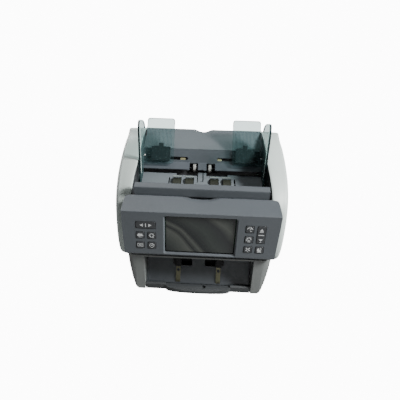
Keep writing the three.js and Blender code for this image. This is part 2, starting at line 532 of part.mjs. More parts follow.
// Slider blocks with their toothed racks behind the plate, and the pinion between the racks.
const PITCH = (2 * Math.PI * PINION_R) / 14;
function rackTeeth(x0, x1, line, dir, phase) {
  // One row of trapezoid teeth on the side of the bar that faces the pinion.
  const pts = [[x0, line + dir * 3.2], [x0, line + dir * 1.3]];
  const first = Math.ceil((x0 + 1.6 - phase) / PITCH);
  const last = Math.floor((x1 - 1.6 - phase) / PITCH);
  for (let k = first; k <= last; k++) {
    const c = phase + k * PITCH;
    pts.push([c - 0.85, line + dir * 1.3], [c - 0.4, line - dir * 0.9], [c + 0.4, line - dir * 0.9], [c + 0.85, line + dir * 1.3]);
  }
  pts.push([x1, line + dir * 1.3], [x1, line + dir * 3.2]);
  return pts;
}
{
  // x0..x1 block on the face, n0..n1 neck through the slot.
  const block = (x0, x1, n0, n1) =>
    join(
      onPlate(prismGeo("z", rounded(x0, x1, 16, 43, 1.5, 2), 0.8, 8.2)),
      onPlate(boxGeo(n0, n1, SLOT_S[0] + 0.5, SLOT_S[1] - 0.5, -3.6, 1.2)),
      onPlate(boxGeo((x0 + x1) / 2 - 4.4, (x0 + x1) / 2 + 4.4, 42, 50, 2.2, 6.8)),
    );
  const R0 = -7.9;
  const R1 = -3.9;
  // Left block and its rack above the pinion; right block and its rack below it.
  const left = join(
    block(-98, -62, -95, -74),
    onPlate(boxGeo(-95, -85, SLOT_S[1] - 2.0, PINION_S + PINION_R + 3.2, R0, R1)),
    onPlate(boxGeo(-95, -85, SLOT_S[1] - 2.0, SLOT_S[1] - 0.5, R0, -3)),
    onPlate(prismGeo("z", rackTeeth(-95, 6, PINION_S + PINION_R, 1, PITCH / 2), R0, R1)),
  );
  const right = join(
    block(62, 98, 74, 95),
    onPlate(boxGeo(85, 95, PINION_S - PINION_R - 3.2, SLOT_S[1] - 0.5, R0, R1)),
    onPlate(boxGeo(85, 95, SLOT_S[0] + 0.5, SLOT_S[1] - 0.5, R0, -3)),
    onPlate(prismGeo("z", rackTeeth(-6, 95, PINION_S - PINION_R, -1, PITCH / 2), R0, R1)),
  );
  put("left_guide_slider", left, M.black);
  put("right_guide_slider", right, M.black);
  const pts = [];
  for (let i = 0; i < 14; i++) {
    const a = (i / 14) * Math.PI * 2 + Math.PI / 2;
    const at = (r, mm) => [r * Math.cos(a + mm / r), PINION_S + r * Math.sin(a + mm / r)];
    pts.push(at(PINION_R - 1.2, -0.95), at(PINION_R, -0.62), at(PINION_R + 0.85, -0.3), at(PINION_R + 0.85, 0.3), at(PINION_R, 0.62), at(PINION_R - 1.2, 0.95));
  }
  put("guide_pinion", onPlate(prismGeo("z", pts, R0, R1)), M.brass);
}

// ---------------------------------------------------------------- control panel
// Wing-shaped housing: upright face, shallow top facet with a grip dip, ends drawn in.
{
  const side = [
    [FRONT_Y, PANEL_TOP - 0.8], [-126.8, PANEL_TOP + 0.3], [-93, 181.2], [-90, 180.5], [-76.8, 171.6], [-76.8, 169.2], [-79, 169], [-91, 177], [-91.2, 112], [-100, 96], [-108, 88.5],
    [-112, PANEL_BOTTOM], [-122, PANEL_BOTTOM - 0.2], [-126, PANEL_BOTTOM + 1.4], [FRONT_Y + 0.2, 90.5],
  ];
  const front = mirrorPts([
    [0, 84], [117, 84], [120.6, 86.6], [122.4, 90], [123.6, 120], [124.8, 150], [PANEL_HALF, 168], [PANEL_HALF - 0.4, 173.5], [PANEL_HALF - 2.4, 177.5], [120, 181.6], [0, 183],
  ]);
  let housing = common(prism("x", side, -126, 126), prism("y", front, -130, -70));
  // Draw the ends in towards the back so that they pass inside the side covers.
  const plan = mirrorPts([[0, -128], [126, -128], [125.8, -107], [124.8, -101], [122.8, -97], [120.4, -94.6], [118.2, -92.8], [112.6, -89.6], [112.2, -75], [0, -75]]);
  housing = common(housing, prism("z", plan, 80, 190));
  // Hollow, open at the back.
  const sideIn = [
    [FRONT_Y + WALL, PANEL_TOP - 2], [-124, 171.5], [-92, 177.8], [-84, 177.8], [-84, 110], [-100, 99], [-110, 91.5], [-122, 89.5], [FRONT_Y + WALL, 91],
  ];
  const planIn = mirrorPts([[0, -125.4], [122, -125.4], [121.8, -108], [120.6, -102.6], [118.6, -99.6], [115, -96.8], [110, -94], [110, -80], [0, -80]]);
  housing = cut(housing, common(prism("x", sideIn, -121.5, 121.5), prism("z", planIn, 80, 190)));
  // Display window.
  const w = WINDOW;
  housing = cut(housing, prism("y", rounded(-w.x, w.x, w.z0, w.z1, 2.5, 3), -135, -120));
  // Key openings.
  const g = KEY_GAP;
  const hole = (x0, x1, z0, z1) => prism("y", rounded(x0 - g, x1 + g, z0 - g, z1 + g, 2.4, 2), -135, -118);
  for (const x of [-KEY.x1, -KEY.x0, KEY.x0, KEY.x1])
    for (const [i, z] of KEY.rows.entries()) {
      const h = KEY.h / 2;
      if (x < 0 && i === 0) continue;
      if (x === KEY.x1 && i < 2) continue;
      housing = cut(housing, hole(x - KEY.w / 2, x + KEY.w / 2, z - h, z + h));
    }
  housing = cut(housing, hole(-KEY.x1 - KEY.w / 2, -KEY.x0 + KEY.w / 2, KEY.rows[0] - KEY.h / 2, KEY.rows[0] + KEY.h / 2));
  housing = cut(housing, hole(KEY.x1 - KEY.w / 2, KEY.x1 + KEY.w / 2, KEY.rows[1] - KEY.h / 2, KEY.rows[0] + KEY.h / 2));
  // Grip dip in the middle of the top edge.
  housing = cut(housing, prism("y", arcNotch(24, 181, 2.6), -103, -84));
  put("panel_housing", housing, M.dark);
}
put("panel_back_shell", cut(
  join(prism("x", [[-96, 176.9], [-93.4, 176.9], [-93.4, 113], [-102, 98.5], [-104.6, 99.6], [-96, 114]], -108, 108),
    box(-90, 90, -93.6, -91.4, 125, 170)),
  box(-80, 80, -92.8, -85, 130, 165)), M.darker);
// Display: bezel frame with the module behind it and a cover glass let into the window.
put("display_module", box(-53, 53, -120.2, -112.5, 97, 162.4), M.black);
put("display_glass", prism("y", rounded(-WINDOW.x + 0.5, WINDOW.x - 0.5, WINDOW.z0 + 0.5, WINDOW.z1 - 0.5, 2, 3), -124.8, -120.6), M.glass);
put("keypad_board", cut(box(-106, 106, -111.4, -109.8, 99, 158), box(-40, 40, -115, -105, 110, 150)), M.board);
// Keys: a cap with a stem behind.
const keySolid = (x0, x1, z0, z1) =>
  join(
    prism("y", rounded(x0, x1, z0, z1, 1.9, 2), FRONT_Y - 0.9, -122.6),
    box(x0 + 3, x1 - 3, -122.8, -115.2, z0 + 3, z1 - 3),
  );
{
  const w = KEY.w / 2;
  const h = KEY.h / 2;
  const [a, b, c] = KEY.rows;
  const at = (name, x, z) => put(name, keySolid(x - w, x + w, z - h, z + h), M.key);
  at("key_note_tray", -KEY.x1, b);
  at("key_cycle", -KEY.x0, b);
  at("key_batch", -KEY.x1, c);
  at("key_dial", -KEY.x0, c);
  at("key_gauge", KEY.x0, a);
  at("key_return", KEY.x0, b);
  at("key_cancel", KEY.x0, c);
  at("key_start", KEY.x1, c);
  put("rocker_left_right", keySolid(-KEY.x1 - w, -KEY.x0 + w, a - h, a + h), M.key);
  put("rocker_up_down", keySolid(KEY.x1 - w, KEY.x1 + w, b - h, a + h), M.key);
}

export default group;
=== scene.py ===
import bpy
import bmesh
import json
import math
from mathutils import Matrix, Vector


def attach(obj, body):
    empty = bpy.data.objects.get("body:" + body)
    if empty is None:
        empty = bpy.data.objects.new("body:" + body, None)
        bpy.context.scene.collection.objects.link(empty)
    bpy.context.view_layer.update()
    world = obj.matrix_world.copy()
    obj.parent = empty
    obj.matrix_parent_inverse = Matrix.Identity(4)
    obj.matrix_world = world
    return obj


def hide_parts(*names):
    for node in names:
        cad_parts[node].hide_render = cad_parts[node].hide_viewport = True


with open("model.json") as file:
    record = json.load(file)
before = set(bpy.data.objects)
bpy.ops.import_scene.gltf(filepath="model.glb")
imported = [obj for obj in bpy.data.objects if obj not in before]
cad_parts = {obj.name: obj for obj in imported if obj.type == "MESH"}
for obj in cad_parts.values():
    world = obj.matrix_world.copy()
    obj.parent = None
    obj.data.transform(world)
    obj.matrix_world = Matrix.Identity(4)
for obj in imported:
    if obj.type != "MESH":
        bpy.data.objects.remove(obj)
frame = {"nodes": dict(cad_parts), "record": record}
NODES = frame["nodes"]
BODY = {}
for _b, _members in frame["record"]["behaviour"]["bodies"].items():
    for _n in _members:
        BODY[_n] = _b
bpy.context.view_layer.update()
MM = 0.001

# ------------------------------------------------------------------ camera
CAM_AT = Vector((-0.00636, -0.67558, 0.51520))
ELEV, YAW, ROLL = math.radians(30.203), math.radians(2.802), math.radians(0.944)
_d = Vector((-math.sin(YAW) * math.cos(ELEV), math.cos(YAW) * math.cos(ELEV), -math.sin(ELEV)))
_r = _d.cross(Vector((0, 0, 1))).normalized()
_u = _r.cross(_d)
_r2 = math.cos(ROLL) * _r + math.sin(ROLL) * _u
_u2 = -math.sin(ROLL) * _r + math.cos(ROLL) * _u
cam_data = bpy.data.cameras.new("camera")
cam_data.sensor_width = 36.0
cam_data.lens = 414.47 / 400 * 36.0
cam_data.shift_x = 0.05
cam_data.clip_start, cam_data.clip_end = 0.01, 20
camera = bpy.data.objects.new("camera", cam_data)
bpy.context.scene.collection.objects.link(camera)
camera.matrix_world = Matrix((
    (_r2.x, _u2.x, -_d.x, CAM_AT.x),
    (_r2.y, _u2.y, -_d.y, CAM_AT.y),
    (_r2.z, _u2.z, -_d.z, CAM_AT.z),
    (0, 0, 0, 1),
))
bpy.context.scene.camera = camera


# ------------------------------------------------------------------ materials
def _nodes(name):
    m = bpy.data.materials.new(name)
    m.use_nodes = True
    nt = m.node_tree
    return m, nt, nt.nodes, nt.links, nt.nodes["Principled BSDF"]


def _noise(nt, scale, detail=3.0, rough=0.5, coord=None, stretch=None):
    tc = coord or nt.nodes.new("ShaderNodeTexCoord").outputs["Object"]
    if stretch:
        mp = nt.nodes.new("ShaderNodeMapping")
        mp.inputs["Scale"].default_value = stretch
        nt.links.new(tc, mp.inputs["Vector"])
        tc = mp.outputs["Vector"]
    n = nt.nodes.new("ShaderNodeTexNoise")
    n.inputs["Scale"].default_value = scale
    n.inputs["Detail"].default_value = detail
    n.inputs["Roughness"].default_value = rough
    nt.links.new(tc, n.inputs["Vector"])
    return n.outputs["Fac"]


def _ramp(nt, fac, stops):
    r = nt.nodes.new("ShaderNodeValToRGB")
    el = r.color_ramp.elements
    while len(el) < len(stops):
        el.new(0.5)
    for e, (pos, col) in zip(el, stops):
        e.position = pos
        e.color = (*col, 1.0)
    nt.links.new(fac, r.inputs["Fac"])
    return r.outputs["Color"]


def _map(nt, fac, lo, hi, f0=0.3, f1=0.7):
    m = nt.nodes.new("ShaderNodeMapRange")
    m.inputs["From Min"].default_value = f0
    m.inputs["From Max"].default_value = f1
    m.inputs["To Min"].default_value = lo
    m.inputs["To Max"].default_value = hi
    nt.links.new(fac, m.inputs["Value"])
    return m.outputs["Result"]


def _bump(nt, height, strength, distance, normal=None):
    b = nt.nodes.new("ShaderNodeBump")
    b.inputs["Strength"].default_value = strength
    b.inputs["Distance"].default_value = distance
    nt.links.new(height, b.inputs["Height"])
    if normal:
        nt.links.new(normal, b.inputs["Normal"])
    return b.outputs["Normal"]


def moulded(name, rgb, rough=0.5, grain=0.35, vary=0.06, spec=0.5, grain_scale=2200):
    """Injection-moulded plastic: spark-eroded grain, faint flow variation and handling gloss."""
    m, nt, nodes, links, bsdf = _nodes(name)
    tc = nodes.new("ShaderNodeTexCoord").outputs["Object"]
    broad = _noise(nt, 11, 4, 0.55, tc)
    fine = _noise(nt, grain_scale, 3, 0.6, tc)
    mid = _noise(nt, 260, 3, 0.6, tc)
    lo = tuple(c * (1 - vary) for c in rgb)
    hi = tuple(min(1, c * (1 + vary)) for c in rgb)
    col = _ramp(nt, broad, [(0.3, lo), (0.7, hi)])
    mix = nodes.new("ShaderNodeMix")
    mix.data_type = "RGBA"
    mix.blend_type = "MULTIPLY"
    mix.inputs["Factor"].default_value = 1.0
    links.new(col, mix.inputs["A"])
    links.new(_ramp(nt, fine, [(0.25, (0.86, 0.86, 0.86)), (0.75, (1, 1, 1))]), mix.inputs["B"])
    links.new(mix.outputs["Result"], bsdf.inputs["Base Color"])
    links.new(_map(nt, mid, rough - 0.07, rough + 0.07), bsdf.inputs["Roughness"])
    n1 = _bump(nt, fine, grain, 0.00012)
    links.new(_bump(nt, mid, grain * 0.25, 0.0002, n1), bsdf.inputs["Normal"])
    bsdf.inputs["Specular IOR Level"].default_value = spec
    return m


def rubbery(name, rgb, rough=0.75, vary=0.18):
    m, nt, nodes, links, bsdf = _nodes(name)
    tc = nodes.new("ShaderNodeTexCoord").outputs["Object"]
    a = _noise(nt, 60, 5, 0.6, tc)
    b = _noise(nt, 900, 3, 0.6, tc)
    lo = tuple(c * (1 - vary) for c in rgb)
    hi = tuple(min(1, c * (1 + vary)) for c in rgb)
    links.new(_ramp(nt, a, [(0.3, lo), (0.7, hi)]), bsdf.inputs["Base Color"])
    links.new(_map(nt, a, rough - 0.1, rough + 0.1), bsdf.inputs["Roughness"])
    links.new(_bump(nt, b, 0.5, 0.0002), bsdf.inputs["Normal"])
    bsdf.inputs["Specular IOR Level"].default_value = 0.35
    return m


def metal(name, rgb, rough=0.32, stretch=(1, 60, 1), vary=0.10):
    """Rolled or ground metal with fine lines along one axis."""
    m, nt, nodes, links, bsdf = _nodes(name)
    tc = nodes.new("ShaderNodeTexCoord").outputs["Object"]
    lines = _noise(nt, 60, 4, 0.6, tc, stretch)
    blot = _noise(nt, 25, 4, 0.6, tc)
    lo = tuple(c * (1 - vary) for c in rgb)
    hi = tuple(min(1, c * (1 + vary)) for c in rgb)
    links.new(_ramp(nt, blot, [(0.3, lo), (0.7, hi)]), bsdf.inputs["Base Color"])
    links.new(_map(nt, lines, rough - 0.08, rough + 0.12), bsdf.inputs["Roughness"])
    links.new(_bump(nt, lines, 0.12, 0.0001), bsdf.inputs["Normal"])
    bsdf.inputs["Metallic"].default_value = 1.0
    return m


def board(name):
    """Solder resist with a pattern of tracks under it."""
    m, nt, nodes, links, bsdf = _nodes(name)
    tc = nodes.new("ShaderNodeTexCoord").outputs["Object"]
    v = nodes.new("ShaderNodeTexBrick")
    v.inputs["Scale"].default_value = 90
    v.inputs["Mortar Size"].default_value = 0.03
    v.inputs["Color1"].default_value = (0.012, 0.09, 0.04, 1)
    v.inputs["Color2"].default_value = (0.016, 0.12, 0.05, 1)
    v.inputs["Mortar"].default_value = (0.05, 0.26, 0.10, 1)
    mp = nodes.new("ShaderNodeMapping")
    mp.inputs["Rotation"].default_value = (math.pi / 2, 0, 0)
    links.new(tc, mp.inputs["Vector"])
    links.new(mp.outputs["Vector"], v.inputs["Vector"])
    links.new(v.outputs["Color"], bsdf.inputs["Base Color"])
    links.new(_map(nt, _noise(nt, 300, 3, 0.5, tc), 0.25, 0.42), bsdf.inputs["Roughness"])
    links.new(_bump(nt, v.outputs["Fac"], 0.3, 0.0001), bsdf.inputs["Normal"])
    return m


def acrylic(name, through, low, high, body=(0.12, 0.26, 0.27)):
    """Clear teal acrylic: light passes tinted, with a gloss skin and faint scuffs."""
    m, nt, nodes, links, bsdf = _nodes(name)
    tc = nodes.new("ShaderNodeTexCoord").outputs["Object"]
    scuff = _noise(nt, 120, 5, 0.65, tc, (1, 1, 0.2))
    links.new(_ramp(nt, scuff, [(0.35, tuple(0.85 * c for c in body)), (0.7, tuple(1.1 * c for c in body))]), bsdf.inputs["Base Color"])
    links.new(_map(nt, scuff, 0.05, 0.16), bsdf.inputs["Roughness"])
    bsdf.inputs["Specular IOR Level"].default_value = 0.6
    clear = nodes.new("ShaderNodeBsdfTransparent")
    clear.inputs["Color"].default_value = (*through, 1)
    fres = nodes.new("ShaderNodeFresnel")
    fres.inputs["IOR"].default_value = 1.35
    mixer = nodes.new("ShaderNodeMixShader")
    links.new(_map(nt, fres.outputs["Fac"], low, high, 0.0, 0.6), mixer.inputs["Fac"])
    links.new(clear.outputs["BSDF"], mixer.inputs[1])
    links.new(bsdf.outputs["BSDF"], mixer.inputs[2])
    links.new(mixer.outputs["Shader"], nodes["Material Output"].inputs["Surface"])
    return m


def screen(name):
    """Dark cover glass over a dead display: broad curved sweeps of painted reflection in the base colour, bent by a
    slow noise.
    """
    m, nt, nodes, links, bsdf = _nodes(name)
    tc = nodes.new("ShaderNodeTexCoord").outputs["Object"]
    warp = nodes.new("ShaderNodeTexNoise")
    warp.inputs["Scale"].default_value = 14
    warp.inputs["Detail"].default_value = 1.0
    links.new(tc, warp.inputs["Vector"])
    add = nodes.new("ShaderNodeVectorMath")
    add.operation = "MULTIPLY_ADD"
    add.inputs[1].default_value = (0.03, 0.0, 0.03)
    links.new(warp.outputs["Color"], add.inputs[0])
    links.new(tc, add.inputs[2])
    dist = nodes.new("ShaderNodeVectorMath")
    dist.operation = "DISTANCE"
    dist.inputs[1].default_value = (-0.150, -0.125, -0.030)
    links.new(add.outputs["Vector"], dist.inputs[0])
    t = _map(nt, dist.outputs["Value"], 0.0, 1.0, 0.150, 0.300)
    # Painted reflection: the pale and warm bands of the sweeps are laid into the base colour.
    dark, mid, pale, warm = (0.007, 0.009, 0.010), (0.024, 0.029, 0.026), (0.050, 0.055, 0.048), (0.045, 0.042, 0.030)
    col = _ramp(nt, t, [(0.02, warm), (0.15, pale), (0.19, dark), (0.30, mid), (0.41, pale), (0.45, dark), (0.50, pale), (0.54, dark), (0.66, mid), (0.78, (0.015, 0.017, 0.018)), (0.84, pale), (0.95, dark)])
    links.new(col, bsdf.inputs["Base Color"])
    links.new(_map(nt, _noise(nt, 40, 2.0, 0.5, tc), 0.12, 0.22), bsdf.inputs["Roughness"])
    bsdf.inputs["Specular IOR Level"].default_value = 0.45
    return m


M = {
    "cover": moulded("cover_grey", (0.42, 0.475, 0.45), 0.5, 0.2, 0.03),
    "plated": metal("plated_sheet", (0.10, 0.10, 0.10), 0.45),
    "deck": moulded("deck_grey", (0.088, 0.104, 0.112), 0.48, 0.28),
    "panel": moulded("panel_grey", (0.062, 0.071, 0.079), 0.42, 0.28),
    "flank": moulded("flank_grey", (0.125, 0.135, 0.130), 0.48, 0.25),
    "black": moulded("inner_black", (0.012, 0.013, 0.015), 0.5, 0.3),
    "inner": moulded("inner_grey", (0.026, 0.029, 0.033), 0.52, 0.3),
    "key": moulded("key_plastic", (0.028, 0.030, 0.033), 0.38, 0.15),
    "floor": moulded("hopper_floor_grey", (0.115, 0.132, 0.142), 0.42, 0.2),
    "steel": metal("steel", (0.50, 0.51, 0.52), 0.34),
    "shaft": metal("ground_shaft", (0.62, 0.63, 0.64), 0.22, (60, 1, 1)),
    "zinc": metal("zinc", (0.11, 0.11, 0.075), 0.46, (1, 1, 40)),
    # Paler grey of the window ribs: painted highlight on a real raised rib.
    "rim": moulded("window_rib_highlight_grey", (0.17, 0.20, 0.185), 0.4, 0.2),
    "carrier": metal("carrier_brass", (0.42, 0.40, 0.24), 0.42),
    "gate": moulded("gate_nylon", (0.26, 0.26, 0.245), 0.28, 0.08, 0.05, 0.6),
    "brass": metal("brass", (0.62, 0.45, 0.16), 0.3),
    "rubber": rubbery("rubber_black", (0.018, 0.017, 0.016)),
    "tyre": rubbery("tyre_amber", (0.011, 0.013, 0.008), 0.5, 0.22),
    "plate": moulded("back_plate_grey", (0.038, 0.047, 0.054), 0.46, 0.25),
    "lip": moulded("back_lip_grey", (0.05, 0.060, 0.070), 0.46, 0.25),
    "apron": moulded("apron_grey", (0.026, 0.029, 0.031), 0.5, 0.25),
    "wall": moulded("stacker_wall_grey", (0.030, 0.036, 0.041), 0.5, 0.25),
    "white": moulded("white_acetal", (0.74, 0.74, 0.70), 0.34, 0.12),
    "print": moulded("key_print", (0.46, 0.48, 0.48), 0.5, 0.05),
    "board": board("board_green"),
    "guide": acrylic("guide_clear", (0.86, 0.93, 0.925), 0.02, 0.3, (0.10, 0.17, 0.175)),
    "flute": acrylic("guide_flute", (0.72, 0.83, 0.84), 0.04, 0.3, (0.09, 0.16, 0.17)),
    # Painted shade for the dark look of the thick acrylic edges.
    "edge": acrylic("guide_edge_painted_shade", (0.02, 0.06, 0.065), 0.6, 0.85, (0.008, 0.024, 0.026)),
    # Painted highlight for the bright line inside the front edge of each guide.
    "glint": acrylic("guide_edge_painted_highlight", (0.95, 1.0, 1.0), 0.42, 0.5, (0.80, 0.92, 0.88)),
    "line": acrylic("guide_line", (0.45, 0.50, 0.50), 0.5, 0.6, (0.16, 0.18, 0.18)),
    "pitch": moulded("deep_black", (0.004, 0.004, 0.005), 0.6, 0.3, 0.06, 0.3),
    "screen": screen("screen_glass"),
}


# ------------------------------------------------------------------ mesh tools
def finish_mesh(ob, angle=35):
    me = ob.data
    for p in me.polygons:
        p.use_smooth = True
    me.set_sharp_from_angle(angle=math.radians(angle))
    w = ob.modifiers.new("normals", "WEIGHTED_NORMAL")
    w.mode = "FACE_AREA_WITH_ANGLE"
    w.weight = 80
    w.keep_sharp = True
    return applied(ob)


def new_object(name, me, mat):
    ob = bpy.data.objects.new(name, me)
    bpy.context.scene.collection.objects.link(ob)
    me.materials.clear()
    me.materials.append(mat)
    return ob


def applied(ob):
    """ob with its modifiers applied to a new mesh."""
    dg = bpy.context.evaluated_depsgraph_get()
    dg.update()
    me = bpy.data.meshes.new_from_object(ob.evaluated_get(dg))
    ob.modifiers.clear()
    old = ob.data
    ob.data = me
    bpy.data.meshes.remove(old)
    return ob


def bevel(ob, width, segments=2, angle=30, profile=0.5):
    b = ob.modifiers.new("bevel", "BEVEL")
    b.width = width * MM
    b.segments = segments
    b.limit_method = "ANGLE"
    b.angle_limit = math.radians(angle)
    b.profile = profile
    b.use_clamp_overlap = True
    b.miter_outer = "MITER_ARC"
    return applied(ob)


def refine(node, mat, width=0.5, segments=2, angle=30, smooth=35, name=None, join=True):
    """A copy of a CAD node with its flat faces joined and its edges rounded, which stands for it."""
    src = NODES[node]
    me = src.data.copy()
    bm = bmesh.new()
    bm.from_mesh(me)
    bmesh.ops.remove_doubles(bm, verts=bm.verts, dist=2e-6)
    if join:
        bmesh.ops.dissolve_limit(bm, angle_limit=math.radians(0.8), verts=bm.verts, edges=bm.edges)
    bm.to_mesh(me)
    bm.free()
    ob = new_object(name or node + "_fine", me, mat)
    if width:
        bevel(ob, width, segments, angle)
    ob.data.materials.clear()
    ob.data.materials.append(mat)
    finish_mesh(ob, smooth)
    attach(ob, BODY[node])
    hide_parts(node)
    return ob


def dress(node, mat, width=0.0):
    """A CAD node that stays, with its material and lightly rounded edges."""
    ob = NODES[node]
    ob.data.materials.clear()
    ob.data.materials.append(mat)
    if width:
        b = ob.modifiers.new("bevel", "BEVEL")
        b.width = width * MM
        b.segments = 2
        b.limit_method = "ANGLE"
        b.angle_limit = math.radians(30)
    return ob


# ------------------------------------------------------------------ shape tools
def smooth_line(pts, step=3.0, closed=False):
    """Points along a centripetal curve through pts."""
    out = []
    n = len(pts)
    for i in range(n if closed else n - 1):
        p1, p2 = pts[i], pts[(i + 1) % n]
        p0 = pts[(i - 1) % n] if closed or i > 0 else p1
        p3 = pts[(i + 2) % n] if closed or i + 2 < n else p2
        k = max(2, int(math.dist(p1, p2) / step))
        for j in range(k):
            t = j / k
            out.append(tuple(
                0.5 * ((2 * b) + (c - a) * t + (2 * a - 5 * b + 4 * c - d) * t * t + (3 * b - a - 3 * c + d) * t ** 3)
                for a, b, c, d in zip(p0, p1, p2, p3)))
    if not closed:
        out.append(tuple(pts[-1]))
    return out


def mesh_of(name, verts, faces, mat):
    me = bpy.data.meshes.new(name)
    me.from_pydata([tuple(c * MM for c in v) for v in verts], [], faces)
    me.update()
    return new_object(name, me, mat)


def fix_normals(ob):
    bm = bmesh.new()
    bm.from_mesh(ob.data)
    bmesh.ops.recalc_face_normals(bm, faces=bm.faces)
    bm.to_mesh(ob.data)
    bm.free()
    return ob


def prism(name, axis, pts, a, b, mat):
    """A flat outline drawn out between a and b along an axis; pts are (y,z), (x,z) or (x,y)."""
    at = {"x": lambda p, h: (h, p[0], p[1]), "y": lambda p, h: (p[0], h, p[1]), "z": lambda p, h: (p[0], p[1], h)}[axis]
    n = len(pts)
    verts = [at(p, a) for p in pts] + [at(p, b) for p in pts]
    faces = [tuple(range(n)), tuple(range(2 * n - 1, n - 1, -1))]
    faces += [(i, (i + 1) % n, n + (i + 1) % n, n + i) for i in range(n)]
    return fix_normals(mesh_of(name, verts, faces, mat))


def plate_pt(x, s, n):
    a = math.radians(55.5)
    return (x, 40 + s * math.cos(a) - n * math.sin(a), 165 + s * math.sin(a) + n * math.cos(a))


def plate_prism(name, pts, n0, n1, mat):
    """Outline in the (x, s) plane of the hopper back plate, from n0 to n1 out of its face."""
    k = len(pts)
    verts = [plate_pt(x, s, n0) for x, s in pts] + [plate_pt(x, s, n1) for x, s in pts]
    faces = [tuple(range(k)), tuple(range(2 * k - 1, k - 1, -1))]
    faces += [(i, (i + 1) % k, k + (i + 1) % k, k + i) for i in range(k)]
    return fix_normals(mesh_of(name, verts, faces, mat))


def block(name, x0, x1, y0, y1, z0, z1, mat):
    return prism(name, "z", [(x0, y0), (x1, y0), (x1, y1), (x0, y1)], z0, z1, mat)


def round_rect(x0, x1, z0, z1, r, k=5):
    pts = []
    for cx, cz, a0 in ((x1 - r, z0 + r, -90), (x1 - r, z1 - r, 0), (x0 + r, z1 - r, 90), (x0 + r, z0 + r, 180)):
        for i in range(k + 1):
            a = math.radians(a0 + 90 * i / k)
            pts.append((cx + r * math.cos(a), cz + r * math.sin(a)))
    return pts


def tube(name, axis, c, r0, r1, a, b, mat, n=40):
    """A ring (or a rod when r0 is 0) along an axis at c."""
    at = {"x": lambda u, v, h: (h, c[0] + u, c[1] + v), "y": lambda u, v, h: (c[0] + u, h, c[1] + v), "z": lambda u, v, h: (c[0] + u, c[1] + v, h)}[axis]
    cs = [(math.cos(2 * math.pi * i / n), math.sin(2 * math.pi * i / n)) for i in range(n)]
    verts = [at(r1 * u, r1 * v, a) for u, v in cs] + [at(r1 * u, r1 * v, b) for u, v in cs]
    faces = [(i, (i + 1) % n, n + (i + 1) % n, n + i) for i in range(n)]
    if r0 > 0:
        verts += [at(r0 * u, r0 * v, a) for u, v in cs] + [at(r0 * u, r0 * v, b) for u, v in cs]
        for i in range(n):
            j = (i + 1) % n
            faces += [(2 * n + j, 2 * n + i, 3 * n + i, 3 * n + j), (i, 2 * n + i, 2 * n + j, j), (n + i, n + j, 3 * n + j, 3 * n + i)]
    else:
        faces += [tuple(range(n)), tuple(range(2 * n - 1, n - 1, -1))]
    return fix_normals(mesh_of(name, verts, faces, mat))


def merge(name, obs):
    """One object holding all of obs."""
    bm = bmesh.new()
    mats = []
    for ob in obs:
        me = ob.data.copy()
        me.transform(ob.matrix_world)
        base = len(bm.faces)
        bm.from_mesh(me)
        bm.faces.ensure_lookup_table()
        for f in bm.faces[base:]:
            m = ob.data.materials[f.material_index]
            if m not in mats:
                mats.append(m)
            f.material_index = mats.index(m)
        bpy.data.meshes.remove(me)
    me = bpy.data.meshes.new(name)
    bm.to_mesh(me)
    bm.free()
    for ob in obs:
        old = ob.data
        bpy.data.objects.remove(ob)
        bpy.data.meshes.remove(old)
    ob = bpy.data.objects.new(name, me)
    bpy.context.scene.collection.objects.link(ob)
    for m in mats:
        me.materials.append(m)
    return ob


def carve(ob, cutters, op="DIFFERENCE"):
    for c in cutters:
        b = ob.modifiers.new("cut", "BOOLEAN")
        b.object = c
        b.operation = op
        b.solver = "EXACT"
        ob = applied(ob)
        old = c.data
        bpy.data.objects.remove(c)
        bpy.data.meshes.remove(old)
    return ob


def done(ob, body, *nodes, width=0.0, segments=2, smooth=35, angle=30):
    if width:
        keep = list(ob.data.materials)
        bevel(ob, width, segments, angle)
        if not ob.data.materials:
            for m in keep:
                ob.data.materials.append(m)
    finish_mesh(ob, smooth)
    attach(ob, body)
    if nodes:
        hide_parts(*nodes)
    return ob


def mirrored(ob, name):
    me = ob.data.copy()
    me.transform(Matrix.Scale(-1, 4, (1, 0, 0)))
    me.flip_normals()
    o = bpy.data.objects.new(name, me)
    bpy.context.scene.collection.objects.link(o)
    return o


# ------------------------------------------------------------------ side covers
# A bulged shell lofted from the side outline: a crowned rim, a soft shoulder and a curved flank.
def cover_out(y, z):
    a = max(0.0, (30 - y) / 124)
    b = max(0.0, (165 - z) / 148)
    c = max(0.0, (z - 200) / 20)
    return 149.6 - 5.2 * a ** 2.4 - 5.5 * b ** 2.4 - 0.2 * c ** 2


def cover_in(y):
    if y >= 5:
        return 115.0
    t = min(1.0, (5 - y) / 80)
    return 115 + 4.4 * t * t * (3 - 2 * t) * 0.5 + 4.4 * t * 0.5


SIDE_CURVE = [
    (96, 219.4), (60, 217.6), (25, 211), (-5, 202.5), (-35, 191.5), (-60, 177),
    (-76, 160), (-86, 138), (-91, 113), (-92, 90), (-89.5, 70), (-83, 54), (-72, 43), (-58, 35.5), (-40, 31),
    (10, 26.2), (60, 22), (109, 18.8),
]


